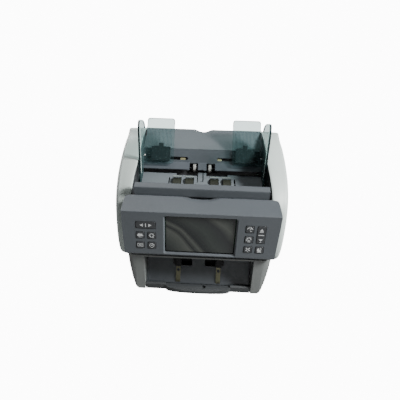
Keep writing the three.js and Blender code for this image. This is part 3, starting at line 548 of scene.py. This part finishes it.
def cover_shell(name):
    line = smooth_line(SIDE_CURVE, 4.0)
    line += [(115 + 6 * math.cos(math.radians(a)), 24.3 + 6 * math.sin(math.radians(a))) for a in range(-90, 0, 15)]
    line += [(121, 24.3 + (213.5 - 24.3) * i / 40) for i in range(41)]
    line += [(115 + 6 * math.cos(math.radians(a)), 213.5 + 6 * math.sin(math.radians(a))) for a in range(15, 91, 15)]
    line += [(106, 219.5)]
    n = len(line)
    cy, cz = 18.0, 112.0
    # Inward direction at each point.
    inward = []
    for i in range(n):
        ay, az = line[i - 1]
        by, bz = line[(i + 1) % n]
        ty, tz = by - ay, bz - az
        l = math.hypot(ty, tz)
        ny, nz = -tz / l, ty / l
        if ny * (cy - line[i][0]) + nz * (cz - line[i][1]) < 0:
            ny, nz = -ny, -nz
        inward.append((ny, nz))
    rad = []
    for y, z in line:
        r = 8.5
        if y > 100:
            r = 8.5 - 4.9 * min(1, (y - 100) / 10)
        if z < 60:
            r = min(r, 8.5 - 3.5 * (60 - z) / 42)
        rad.append(r)
    rings = []
    # Crowned rim: slightly lower at its inner edge.
    def crown(y):
        # How far the outer edge of the rim lies below its inner edge.
        return 3.6 if y < 80 else 3.6 - 2.6 * min(1, (y - 80) / 28)

    for t, lip in ((0, 0.8), (0.06, 0.25), (0.14, 0.0), (0.35, 0.0), (0.6, 0.0), (0.8, 0.0), (1, 0.0)):
        ring = []
        for (y, z), (ny, nz), r in zip(line, inward, rad):
            x0, x1 = cover_in(y), cover_out(y, z) - r
            drop = lip + crown(y) * t ** 1.7
            ring.append((x0 + (x1 - x0) * t, y + ny * drop, z + nz * drop))
        rings.append(ring)
    for k in range(1, 9):
        th = math.pi / 2 * k / 8
        ring = []
        for (y, z), (ny, nz), r in zip(line, inward, rad):
            d = crown(y) + r * (1 - math.cos(th))
            yy, zz = y + ny * d, z + nz * d
            ring.append((cover_out(yy, zz) - r + r * math.sin(th), yy, zz))
        rings.append(ring)
    last = rings[-1]
    for k in range(1, 12):
        sc = 1 - k / 12
        rings.append([(cover_out(cy + (y - cy) * sc, cz + (z - cz) * sc), cy + (y - cy) * sc, cz + (z - cz) * sc) for _, y, z in last])
    verts = [p for ring in rings for p in ring]
    verts.append((cover_out(cy, cz), cy, cz))
    faces = []
    for r in range(len(rings) - 1):
        for i in range(n):
            j = (i + 1) % n
            faces.append((r * n + i, r * n + j, (r + 1) * n + j, (r + 1) * n + i))
    top = (len(rings) - 1) * n
    faces += [(top + i, top + (i + 1) % n, len(verts) - 1) for i in range(n)]
    ob = fix_normals(mesh_of(name, verts, faces, M["cover"]))
    # Face outwards.
    me = ob.data
    big = max(me.polygons, key=lambda p: p.center.x)
    if big.normal.x < 0:
        me.flip_normals()
    s = ob.modifiers.new("wall", "SOLIDIFY")
    s.thickness = 2.3 * MM
    s.offset = -1
    s.use_even_offset = False
    return applied(ob)


right = cover_shell("right_side_cover_fine")
left = mirrored(right, "left_side_cover_fine")
done(right, "chassis", "right_side_cover", smooth=50)
done(left, "chassis", "left_side_cover", smooth=50)
# Recessed screws low on each flank.
for sign, side_name in ((1, "right"), (-1, "left")):
    for i, (y, z) in enumerate(((96, 44), (-18, 52), (96, 190))):
        x = cover_out(y, z)
        a, b = sorted((sign * (x - 1.5), sign * (x + 0.25)))
        c, d = sorted((sign * (x - 1.5), sign * (x - 0.1)))
        ring = tube("r", "x", (y, z), 3.0, 4.3, a, b, M["flank"], 28)
        head = tube("h", "x", (y, z), 1.3, 3.0, c, d, M["steel"], 28)
        well = tube("w", "x", (y, z), 0, 1.3, *sorted((sign * (x - 1.5), sign * (x - 0.9))), M["black"], 6)
        done(merge("%s_cover_screw_%d" % (side_name, i + 1), [ring, head, well]), "chassis", width=0.12)
# Black liner beside the hopper inside each cover: painted shade standing in for the shadow there.
_lin = [(118, 216.5), (95, 216.5), (60, 214.6), (25, 208), (-5, 199.5), (-35, 188.5), (-58, 175), (-70, 158), (-70, 147), (118, 147)]
for sign, nm in ((1, "right_cover_shade_liner"), (-1, "left_cover_shade_liner")):
    vs = [(sign * (cover_in(y) + 0.5), y, z) for y, z in _lin] + [(sign * (cover_in(y) + 2.0), y, z) for y, z in _lin]
    k = len(_lin)
    fs = [tuple(range(k)), tuple(range(2 * k - 1, k - 1, -1))] + [(i, (i + 1) % k, k + (i + 1) % k, k + i) for i in range(k)]
    done(fix_normals(mesh_of(nm, vs, fs, M["black"])), "chassis")

# ------------------------------------------------------------------ body shells
# Top cover: sloping deck with a grip notch, and the rear wall down to the door.
_a, _b = plate_pt(0, 41.2, 0)[1:], plate_pt(0, 41.2, -2.4)[1:]
deck = prism("top_cover_fine", "x", [_a, (117.5, 217.4), (121.6, 217.7), (123.4, 216.4), (124.0, 213.6), (124.0, 166), (121.5, 166), (121.5, 212), (118, 213.8), _b], -114.3, 114.3, M["deck"])


def bay(depth, half, n=24, y0=124.0):
    return [(-half + 2 * half * i / n, y0 - depth * (0.5 + 0.5 * math.cos(math.pi * (-1 + 2 * i / n))) ** 0.8) for i in range(n + 1)]


deck = carve(deck, [prism("cut", "z", [(-24, 130)] + bay(11.5, 24) + [(24, 130)], 197, 230, M["deck"]), tube("cut", "y", (84, 190), 0, 10.6, 112, 132, M["deck"], 36)])
# Curved wall and floor of the grip recess.
_o, _i2 = bay(13.2, 26.5, y0=123.0), bay(11.5, 24)
recess = merge("grip_recess", [
    prism("w", "z", _o + _i2[::-1], 196.4, 211.6, M["deck"]),
    prism("f", "z", [(-24, 123.6)] + bay(11.6, 24, y0=123.6)[1:-1] + [(24, 123.6)], 194.6, 196.6, M["deck"])])
done(recess, "chassis")
done(deck, "chassis", "top_cover", width=0.7, segments=2)
def clear_of(node, gap):
    """Round cutter along X around a turning CAD node."""
    pts = [NODES[node].matrix_world @ v.co * 1000 for v in NODES[node].data.vertices]
    y0, y1 = min(p.y for p in pts), max(p.y for p in pts)
    z0, z1 = min(p.z for p in pts), max(p.z for p in pts)
    cy, cz, r = (y0 + y1) / 2, (z0 + z1) / 2, max(y1 - y0, z1 - z0) / 2 + gap
    ring = [(cy + r * math.cos(math.pi * i / 16), cz + r * math.sin(math.pi * i / 16)) for i in range(32)]
    return prism("cut", "x", ring, min(p.x for p in pts) - gap, max(p.x for p in pts) + gap, M["black"])


# Black sheets that close the inside under the hopper, cut clear of the shafts.
backing = plate_prism("hopper_backing", [(-113.6, -9), (113.6, -9), (113.6, 39), (-113.6, 39)], -11.8, -11.0, M["black"])
done(carve(backing, [clear_of("gate_roller", 0.8)]), "chassis")
for sign in (-1, 1):
    x0, x1 = sorted((sign * 101.6, sign * 113.6))
    done(carve(block("hopper_edge_sheet_" + ("left" if sign < 0 else "right"), x0, x1, -60, 47, 146.2, 147.0, M["black"]), [clear_of("pickup_shaft", 1.0)]), "chassis")
    x0, x1 = sorted((sign * 57.5, sign * 66))
    done(carve(block("hopper_slit_sheet_" + ("left" if sign < 0 else "right"), x0, x1, -14, 36, 146.2, 147.0, M["black"]), [clear_of("pickup_shaft", 1.0)]), "chassis")
done(block("hopper_tongue_sheet", -8.3, 8.3, 29, 40, 146.2, 147.0, M["black"]), "chassis")
# Black pans that close the base behind the bezel corners.
for sign in (-1, 1):
    x0, x1 = sorted((sign * 92.6, sign * 112.4))
    done(block("corner_pan_" + ("left" if sign < 0 else "right"), x0, x1, -100, -72, 20.4, 21.4, M["black"]), "chassis")
done(block("pocket_under_pan", -92.6, 92.6, -111, -72, 9.2, 10.2, M["black"]), "chassis")
refine("rear_door", M["deck"], 0.4, join=False)
refine("rear_sill", M["black"], 0.4)
refine("lower_front_bezel", M["flank"], 0.9, 3)
refine("stacker_apron", M["apron"], 0.7)
refine("hopper_front_bar", M["panel"], 0.7, 3)


def floor_z(y):
    return 160 - 0.1 * (40 - y)


def notched(x0, x1, y0, y1):
    return block("cut", min(x0, x1), max(x0, x1), y0, y1, 145, 170, M["floor"])


ground = prism("hopper_floor_fine", "x", [(-30, floor_z(-30)), (41, floor_z(41)), (41, floor_z(41) - 2.4), (-30, floor_z(-30) - 2.4)], -114.4, 114.4, M["floor"])
_cuts = [notched(x - 8.4, x + 8.4, -6, 24) for x in (-46.5, -23, 23, 46.5)]
_cuts += [notched(-9, -7.4, 7, 50), notched(1.2, 2.9, 9.5, 50), notched(-3.6, 2, 9.5, 11.3)]
_cuts += [notched(x * 8.4, x * 48.5, 30, 50) for x in (-1, 1)] + [notched(x * 47, x * 120, 36, 50) for x in (-1, 1)]
_cuts += [notched(x - 1.2, x + 1.2, -6, 22) for x in (-61, 61)]
ground = carve(ground, _cuts)
done(ground, "chassis", "hopper_floor", width=0.3, segments=2)
# Raised ribs along the rear edges of the roller windows, whose paler grey is painted highlight.
for i, x in enumerate((-46.5, -23, 23, 46.5)):
    done(prism("window_rib_%d" % (i + 1), "x", [(24.3, floor_z(24.3) - 0.4), (24.3, floor_z(24.3) + 0.7), (25.2, floor_z(25) + 1.0), (26.6, floor_z(26) + 0.9), (27.6, floor_z(27.6) - 0.4)], x - 8.2, x + 8.2, M["rim"]), "chassis", width=0.25)
refine("hopper_back_plate", M["plate"], 0.35)
refine("feed_throat_plate", M["inner"], 0.3)

# Forward lip along the foot of the hopper back plate.
_lip = [(49.2, 178.1), (36.0, 170.0), (35.2, 168.6), (36.4, 168.0), (49.9, 176.4)]
for nm, x0, x1 in (("back_lip_left", -113.6, -24.4), ("back_lip_mid", -8.0, 8.0), ("back_lip_right", 24.4, 113.6)):
    done(prism(nm, "x", _lip, x0, x1, M["lip"]), "chassis", width=0.25)
# Brass carriers seen at the inner ends of the guide slots.
for sign, nm in ((-1, "slot_carrier_left"), (1, "slot_carrier_right")):
    a, b = (-42.6, -33.2) if sign < 0 else (28.8, 36.2)
    done(plate_prism(nm, round_rect(a, b, 20.0, 24.8, 0.8), -3.75, -3.2, M["carrier"]), "left_guide" if sign < 0 else "right_guide", width=0.2)

# ------------------------------------------------------------------ control panel
def tapered(name, front, back, yf, yb, mat):
    """Block from the outline front at yf to the outline back at yb, both with as many points."""
    n = len(front)
    verts = [(x, yf, z) for x, z in front] + [(x, yb, z) for x, z in back]
    faces = [tuple(range(n)), tuple(range(2 * n - 1, n - 1, -1))] + [(i, (i + 1) % n, n + (i + 1) % n, n + i) for i in range(n)]
    return fix_normals(mesh_of(name, verts, faces, mat))


_side = [(-128, 171.7), (-126.8, 172.8), (-93, 181.2), (-90, 180.5), (-76.8, 171.6), (-76.8, 169.2), (-79, 169), (-91, 177), (-91.2, 112), (-100, 96), (-108, 88.5),
         (-112, 86.6), (-122, 86.4), (-126, 88), (-127.8, 90.5)]
_front = [(0, 84), (117, 84), (120.6, 86.6), (122.4, 90), (123.6, 120), (124.8, 150), (125, 170), (124.9, 175), (124.0, 178.6), (122.4, 181.2), (119.6, 182.8), (0, 183.4)]
_plan = [(0, -128), (126, -128), (126, -107), (125.5, -101.5), (124.3, -97.8), (122.4, -95), (119.8, -93), (112.6, -89.6), (112.2, -75), (0, -75)]


def both(pts):
    return pts + [(-x, v) for x, v in pts[::-1] if x > 0]


housing = prism("panel_housing_fine", "x", _side, -126, 126, M["panel"])
housing = carve(housing, [prism("cut", "y", both(_front), -131, -70, M["panel"]), prism("cut", "z", both(_plan), 80, 190, M["panel"])], "INTERSECT")
_side_in = [(-125.4, 170.5), (-124, 171.5), (-92.4, 177.7), (-91, 176.8), (-84, 172.1), (-84, 110), (-100, 99), (-110, 91.5), (-122, 89.5), (-125.4, 91)]
_plan_in = [(0, -125.4), (122, -125.4), (121.8, -108), (120.6, -102.6), (118.6, -99.6), (115, -96.8), (110, -94), (110, -80), (0, -80)]
_hollow = carve(prism("cut", "x", _side_in, -121.5, 121.5, M["panel"]), [prism("cut", "z", both(_plan_in), 80, 190, M["panel"])], "INTERSECT")
_g = 0.8
_holes = []
for x0, x1, z0, z1 in (
        (-103.45, -71.75, 140.9, 153.5), (-103.45, -90.55, 121.1, 133.7), (-84.65, -71.75, 121.1, 133.7), (-103.45, -90.55, 101.5, 114.1), (-84.65, -71.75, 101.5, 114.1),
        (71.75, 84.65, 140.9, 153.5), (90.55, 103.45, 121.1, 153.5), (71.75, 84.65, 121.1, 133.7), (71.75, 84.65, 101.5, 114.1), (90.55, 103.45, 101.5, 114.1)):
    _holes.append(prism("cut", "y", round_rect((x0 - _g) / 1.01, (x1 + _g) / 1.01, z0 - _g, z1 + _g, 2.2, 4), -135, -118, M["panel"]))
# Grip scoop along the middle of the top edge: a shallow bowl.
def bowl(low, x1=36.0, n=28):
    return [(-x1, 190)] + [(-x1 + 2 * x1 * i / n, 182.4 - (182.4 - low) * (0.5 + 0.5 * math.cos(math.pi * (-1 + 2 * i / n))) ** 0.7) for i in range(n + 1)] + [(x1, 190)]


_hollow = carve(_hollow, [prism("cut", "x", [(-122, 168.0), (-122, 190), (-70, 190), (-70, 171.5)], -48, 48, M["panel"])])
scoop = tapered("cut", bowl(178.4, 44.0), bowl(177.6, 44.0), -110.0, -92.0, M["panel"])
notch = tapered("cut", bowl(178.2, 44.0), bowl(164.4, 44.0), -93.0, -74.0, M["panel"])
housing = carve(housing, [_hollow, scoop, notch] + _holes)
window = prism("cut", "y", round_rect(-55.4, 55.4, 96.0, 163.3, 2.2), -135, -118, M["panel"])
slope = tapered("cut", round_rect(-58.8, 58.8, 91.2, 165.6, 3.2), round_rect(-55.2, 55.2, 96.2, 163.2, 2.0), -128.05, -124.2, M["panel"])
housing = carve(housing, [window, slope])
housing.data.transform(Matrix.Scale(1.01, 4, (1, 0, 0)))
done(housing, "control_panel", "panel_housing", width=0.7, segments=3)
refine("panel_back_shell", M["black"], 0.3)
refine("display_module", M["black"], 0.3)
glass = prism("display_glass_fine", "y", round_rect(-55.2, 55.2, 96.3, 163.0, 2.0), -124.9, -120.7, M["screen"])
done(glass, "control_panel", "display_glass", width=0.25)
refine("keypad_board", M["board"], 0.1)

for n in NODES:
    if n.startswith("key_") or n.startswith("rocker_"):
        refine(n, M["key"], 0.7, 3)


def disc(cx, cz, r, a0=0, a1=360, n=20):
    pts = [(cx + r * math.cos(math.radians(a0 + (a1 - a0) * i / n)), cz + r * math.sin(math.radians(a0 + (a1 - a0) * i / n))) for i in range(n + (0 if a1 - a0 == 360 else 1))]
    if a1 - a0 != 360:
        pts.append((cx, cz))
    return pts


def arc(cx, cz, r, w, a0, a1, n=16):
    outer = [(cx + (r + w / 2) * math.cos(math.radians(a0 + (a1 - a0) * i / n)), cz + (r + w / 2) * math.sin(math.radians(a0 + (a1 - a0) * i / n))) for i in range(n + 1)]
    inner = [(cx + (r - w / 2) * math.cos(math.radians(a0 + (a1 - a0) * i / n)), cz + (r - w / 2) * math.sin(math.radians(a0 + (a1 - a0) * i / n))) for i in range(n + 1)]
    return outer + inner[::-1]


def bar(x0, z0, x1, z1, w):
    l = math.hypot(x1 - x0, z1 - z0)
    nx, nz = -(z1 - z0) / l * w / 2, (x1 - x0) / l * w / 2
    return [(x0 + nx, z0 + nz), (x1 + nx, z1 + nz), (x1 - nx, z1 - nz), (x0 - nx, z0 - nz)]


def rect(x0, x1, z0, z1):
    return [(x0, z0), (x1, z0), (x1, z1), (x0, z1)]


KX = {"in": 78.2, "out": 97.0}
ROWS = (147.2, 127.4, 107.8)
ICONS = {
    "rocker_left_right": (-87.6, ROWS[0], [
        [(-9.6, 0), (-4.4, 3.0), (-4.4, -3.0)], [(9.6, 0), (4.4, -3.0), (4.4, 3.0)], rect(-0.6, 0.6, -3.4, 3.4)]),
    "key_note_tray": (-97.0, ROWS[1], [
        [(-4.6, -0.4), (-3.4, 3.2), (3.4, 3.2), (4.6, -0.4)], rect(-4.6, 4.6, -1.6, -0.4), rect(-2.6, 2.6, -3.9, -3.1)]),
    "key_cycle": (-78.2, ROWS[1], [
        arc(0, 0.4, 3.2, 1.1, 30, 160), arc(0, 0.4, 3.2, 1.1, 210, 340), [(-4.9, 0.6), (-1.7, 0.6), (-3.3, -1.6)], [(4.9, 0.2), (1.7, 0.2), (3.3, 2.4)], rect(1.0, 4.2, -4.4, -3.7)]),
    "key_batch": (-97.0, ROWS[2], [
        rect(-4.6, 4.6, 2.6, 3.3), rect(-4.6, 4.6, -2.7, -2.0), rect(-4.6, -3.9, -2.0, 2.6), rect(3.9, 4.6, -2.0, 2.6), rect(-2.0, 0.4, -0.6, 1.2), bar(0.6, -1.0, 2.6, 1.0, 0.7)]),
    "key_dial": (-78.2, ROWS[2], [
        arc(0, 0.3, 3.6, 0.9, -50, 230, 24), bar(-1.4, 1.2, 0.2, -0.6, 0.9), bar(0.2, -0.6, 2.0, 2.0, 0.9), rect(-1.6, 1.6, -4.3, -3.6)]),
    "key_gauge": (78.2, ROWS[0], [
        arc(0, -0.4, 4.2, 1.2, 15, 165), bar(-0.2, -0.8, 2.2, 2.4, 1.2), rect(0.4, 3.4, -3.6, -2.8)]),
    "rocker_up_down": (97.0, 137.3, [
        [(0, 11.8), (-3.2, 7.6), (3.2, 7.6)], rect(-3.0, 3.0, 5.4, 6.3), rect(-4.6, 4.6, -0.7, 0.7), [(0, -11.8), (3.2, -7.6), (-3.2, -7.6)], rect(-1.2, 1.2, -14.0, -13.3)]),
    "key_return": (78.2, ROWS[1], [
        arc(0, 0.8, 3.4, 1.3, -20, 200, 24), [(-5.2, 0.4), (-1.6, 0.4), (-3.4, -2.0)], rect(-2.4, 2.6, -3.9, -2.9), rect(-1.4, 1.6, -1.2, -0.4)]),
    "key_cancel": (78.2, ROWS[2], [
        bar(-3.2, -1.8, 3.2, 3.8, 1.4), bar(-3.2, 3.8, 3.2, -1.8, 1.4), rect(-1.4, 1.4, -4.2, -3.5)]),
    "key_start": (97.0, ROWS[2], [
        disc(-0.4, 0.6, 3.6, 95, 350, 20), [(0.6, 1.4), (3.8, 3.0), (1.4, 4.4)], rect(-3.6, 3.6, -4.2, -3.5)]),
}
CAP_Y = -128.4
for n, (cx, cz, polys) in ICONS.items():
    obs = [prism("i", "y", [(cx + x, cz + z) for x, z in p], CAP_Y - 0.14, CAP_Y + 0.25, M["print"]) for p in polys]
    done(merge(n + "_mark", obs), BODY[n])

# ------------------------------------------------------------------ note guides
def guide(sign, name):
    # Upright panel with a rounded top.
    side = smooth_line([(-5, 258), (-4.8, 264), (-3.2, 269.6), (0.6, 273.2), (6, 273.9), (14, 272), (28, 267), (42, 261.6), (54, 255.2), (62, 249.6), (67.5, 243.6), (71, 238)], 2.0)
    side = [(-4.6, 157.6), (-5, 200)] + side + [plate_pt(0, 76, 11.2)[1:], plate_pt(0, 9.5, 11.2)[1:], (30, 161.4)]
    a = prism("a", "x", side, 111.0, 113.6, M["guide"])
    top = 97.0
    out = [(112, 9.5), (112, 73), (110.8, 76.4), (108.9, 78.6), (108.1, 81.6), (107.9, 90)]
    out += [(107.7, top - 4.2), (107.0, top - 2.0), (105.4, top - 0.5), (103.4, top)]
    out += [(60, top), (57.4, top - 0.6), (55.9, top - 2.2), (55.2, top - 4.6), (55, 60), (55, 15.5), (56, 12), (58, 10.2), (61, 9.5)]
    b = plate_prism("b", out, 8.6, 11.0, M["guide"])
    for ob in (a, b):
        bevel(ob, 0.35, 2)
    obs = [a, b]
    # Fine upright flutes on the back of the flange.
    x = 60.0
    while x < 108:
        obs.append(plate_prism("f", [(x, 12.5), (x + 0.6, 12.5), (x + 0.6, 77), (x, 77)], 10.95, 11.25, M["flute"]))
        x += 2.6
    # Painted shade as a dark outer line and a painted highlight as a bright inner line along the thick front edge, and
    # a thin line round the tab.
    front = [(-5, 176), (-5, 225)] + smooth_line([(-5, 258), (-4.8, 264), (-3.2, 269.6), (0.6, 273.2), (6, 273.9)], 2.0)
    inner = [(y + 1.6, z - 0.6) for y, z in front]
    obs.append(prism("d", "x", [(y - 0.5, z + 0.15) for y, z in front] + inner[::-1], 110.9, 113.9, M["edge"]))
    a1 = [(y + 2.2 + (0 if z < 262 else (z - 262) * 0.10), z - (0 if z < 262 else (z - 262) * 0.22)) for y, z in front]
    a2 = [(y + 7.4 + (0 if z < 262 else (z - 262) * 0.10), z - (0 if z < 262 else (z - 262) * 0.55)) for y, z in front]
    obs.append(prism("l", "x", a1 + a2[::-1], 110.75, 110.95, M["glint"]))
    rim = [(107.9, 84), (107.7, top - 4.2), (107.0, top - 2.0), (105.4, top - 0.5), (103.4, top), (60, top), (57.4, top - 0.6), (55.9, top - 2.2), (55.2, top - 4.6), (55.1, 84)]
    obs.append(plate_prism("t", rim + [(81.5 + (x - 81.5) * 0.955, 80 + (v - 80) * 0.93) for x, v in rim[::-1]], 11.02, 11.25, M["line"]))
    ob = merge(name, obs)
    # Painted shade: the thin edge faces of the guide take the dark edge material.
    nrm = Vector((0, -math.sin(math.radians(55.5)), math.cos(math.radians(55.5))))
    me = ob.data
    me.materials.append(M["edge"])
    ei = len(me.materials) - 1
    gi = list(me.materials).index(M["guide"])
    for p in me.polygons:
        if p.material_index == gi and abs(p.normal.x) < 0.8 and abs(p.normal.dot(nrm)) < 0.8:
            p.material_index = ei
    if sign < 0:
        ob2 = mirrored(ob, name)
        old = ob.data
        bpy.data.objects.remove(ob)
        bpy.data.meshes.remove(old)
        ob = ob2
        ob.name = name
    return ob


done(guide(1, "right_guide_fine"), "right_guide", "right_guide")
done(guide(-1, "left_guide_fine"), "left_guide", "left_guide")
for sign, body in ((1, "right_guide"), (-1, "left_guide")):
    # White screw head low on the outer edge and a dark catch higher up.
    obs = [plate_prism("s", [(sign * 109.6 + 1.2 * math.cos(math.radians(t)), 25 + 1.2 * math.sin(math.radians(t))) for t in range(0, 360, 20)], 11.0, 12.0, M["white"])]
    obs.append(plate_prism("k", round_rect(*sorted((sign * 108.4, sign * 110.4)), 62.2, 71.8, 0.9), 9.4, 11.6, M["black"]))
    done(merge(body + "_fixings", obs), body, width=0.2)
    refine(body + "_slider", M["black"], 0.4)
refine("guide_pinion", M["brass"], 0.1)

# ------------------------------------------------------------------ inside
for n in ("bottom_tray", "power_inlet", "power_switch", "feed_gap_knob", "sensor_bar"):
    refine(n, M["black"], 0.3)
for n in ("left_stacker_wheel", "right_stacker_wheel"):
    refine(n, M["black"], 0.25)
refine("stacker_back_wall", M["wall"], 0.3)


def wall_pt(t, n):
    """(y, z) at t down the stacker back wall (0 top, 1 foot), n out of its face."""
    uy, uz = -43.4, -63.6
    l = math.hypot(uy, uz)
    return (-64.6 + uy * t + n * uz / l, 75.6 + uz * t - n * uy / l)


# Black hoods that the note strippers hang from, each with a wing towards the slot.
for sign, nm in ((-1, "left_stripper_hood"), (1, "right_stripper_hood")):
    pts = [wall_pt(0.30, 5.1), wall_pt(0.30, 8.4), wall_pt(0.44, 9.2), wall_pt(0.56, 8.6), wall_pt(0.60, 7.0), wall_pt(0.60, 5.0)]
    a, b = sorted((sign * 30.4, sign * 41.2))
    done(prism(nm, "x", pts, a, b, M["pitch"]), "chassis", width=0.6)
    pts = [wall_pt(0.30, 0.4), wall_pt(0.30, 3.4), wall_pt(0.46, 4.2), wall_pt(0.54, 3.6), wall_pt(0.56, 0.4)]
    a, b = sorted((sign * 41.0, sign * 45.0))
    done(prism(nm + "_side", "x", pts, a, b, M["pitch"]), "chassis", width=0.5)
for n in ("left_note_stripper", "right_note_stripper"):
    refine(n, M["zinc"], 0.2)
for n in ("left_frame_plate", "right_frame_plate"):
    refine(n, M["plated"], 0.2)
for n in ("main_motor", "motor_pulley", "power_supply"):
    refine(n, M["steel"], 0.2)
for n in ("pickup_shaft", "feed_shaft", "stacker_shaft"):
    refine(n, M["shaft"], 0.2)
for n in ("foot_front_left", "foot_front_right", "foot_rear_left", "foot_rear_right", "drive_belt", "transport_roller"):
    refine(n, M["rubber"], 0.3)
for n in ("pickup_roller", "feed_roller"):
    refine(n, M["tyre"], 0.3)
gate = refine("gate_roller", M["gate"], 0.5, 3)
gate.data.materials.append(M["black"])
for p in gate.data.polygons:
    # The thin spindle ends are dark.
    if abs(p.center.x) > 0.01735 or abs(p.center.x) < 0.01165:
        p.material_index = 1
refine("feed_pulley", M["white"], 0.3)
refine("main_board", M["board"], 0.1)


# ------------------------------------------------------------------ floor and light
def floor_material():
    # White to the camera, a mid grey to everything it lights.
    m, nt, nodes, links, bsdf = _nodes("pale_floor")
    bsdf.inputs["Base Color"].default_value = (0.22, 0.22, 0.22, 1)
    bsdf.inputs["Roughness"].default_value = 0.9
    em = nodes.new("ShaderNodeEmission")
    em.inputs["Color"].default_value = (1, 1, 1, 1)
    lp = nodes.new("ShaderNodeLightPath")
    dim = nodes.new("ShaderNodeMapRange")  # seen through the clear guides it is only as bright as the room
    dim.inputs["From Min"].default_value = 0.0
    dim.inputs["From Max"].default_value = 1.0
    dim.inputs["To Min"].default_value = 12.0
    dim.inputs["To Max"].default_value = 2.3
    links.new(lp.outputs["Transparent Depth"], dim.inputs["Value"])
    links.new(dim.outputs["Result"], em.inputs["Strength"])
    mx = nodes.new("ShaderNodeMixShader")
    links.new(lp.outputs["Is Camera Ray"], mx.inputs["Fac"])
    links.new(bsdf.outputs["BSDF"], mx.inputs[1])
    links.new(em.outputs["Emission"], mx.inputs[2])
    # Nothing to see from below, so that the underside of the machine shows.
    geo = nodes.new("ShaderNodeNewGeometry")
    away = nodes.new("ShaderNodeBsdfTransparent")
    two = nodes.new("ShaderNodeMixShader")
    links.new(geo.outputs["Backfacing"], two.inputs["Fac"])
    links.new(mx.outputs["Shader"], two.inputs[1])
    links.new(away.outputs["BSDF"], two.inputs[2])
    links.new(two.outputs["Shader"], nodes["Material Output"].inputs["Surface"])
    return m


me = bpy.data.meshes.new("floor")
me.from_pydata([(-6, -6, 0), (6, -6, 0), (6, 6, 0), (-6, 6, 0)], [], [(0, 1, 2, 3)])
floor = new_object("floor", me, floor_material())

world = bpy.data.worlds.new("studio")
bpy.context.scene.world = world
world.use_nodes = True
wn, wl = world.node_tree.nodes, world.node_tree.links
wb = wn["Background"]
wb.inputs["Color"].default_value = (1, 1, 1, 1)
wb.inputs["Strength"].default_value = 0.085
# The room reads as white behind the object, and lights it softly.
room = wn.new("ShaderNodeBackground")
room.inputs["Color"].default_value = (1, 1, 1, 1)
room.inputs["Strength"].default_value = 12.0
room_path = wn.new("ShaderNodeLightPath")
room_mix = wn.new("ShaderNodeMixShader")
wl.new(room_path.outputs["Is Camera Ray"], room_mix.inputs["Fac"])
wl.new(wb.outputs["Background"], room_mix.inputs[1])
wl.new(room.outputs["Background"], room_mix.inputs[2])
wl.new(room_mix.outputs["Shader"], wn["World Output"].inputs["Surface"])


def area(name, at, look, size, power, color=(1, 1, 1)):
    li = bpy.data.lights.new(name, "AREA")
    li.shape = "RECTANGLE"
    li.size, li.size_y = size
    li.energy = power
    li.color = color
    ob = bpy.data.objects.new(name, li)
    bpy.context.scene.collection.objects.link(ob)
    ob.location = at
    ob.rotation_mode = "QUATERNION"
    ob.rotation_quaternion = (Vector(look) - Vector(at)).to_track_quat("-Z", "Y")
    return ob


area("key_light", (1.27, -0.48, 1.18), (0, 0, 0.15), (0.42, 0.42), 98)
area("fill_light", (0.30, -1.75, 0.80), (0, 0, 0.12), (0.8, 0.5), 4.5)
area("back_light", (-0.7, 1.7, 0.55), (0, 0, 0.10), (1.2, 0.5), 24)
area("side_light", (-1.7, 0.75, 0.40), (0, 0, 0.10), (0.8, 0.4), 11)
area("top_light", (-0.5, 0.5, 1.9), (0, 0, 0.15), (0.9, 0.7), 8)
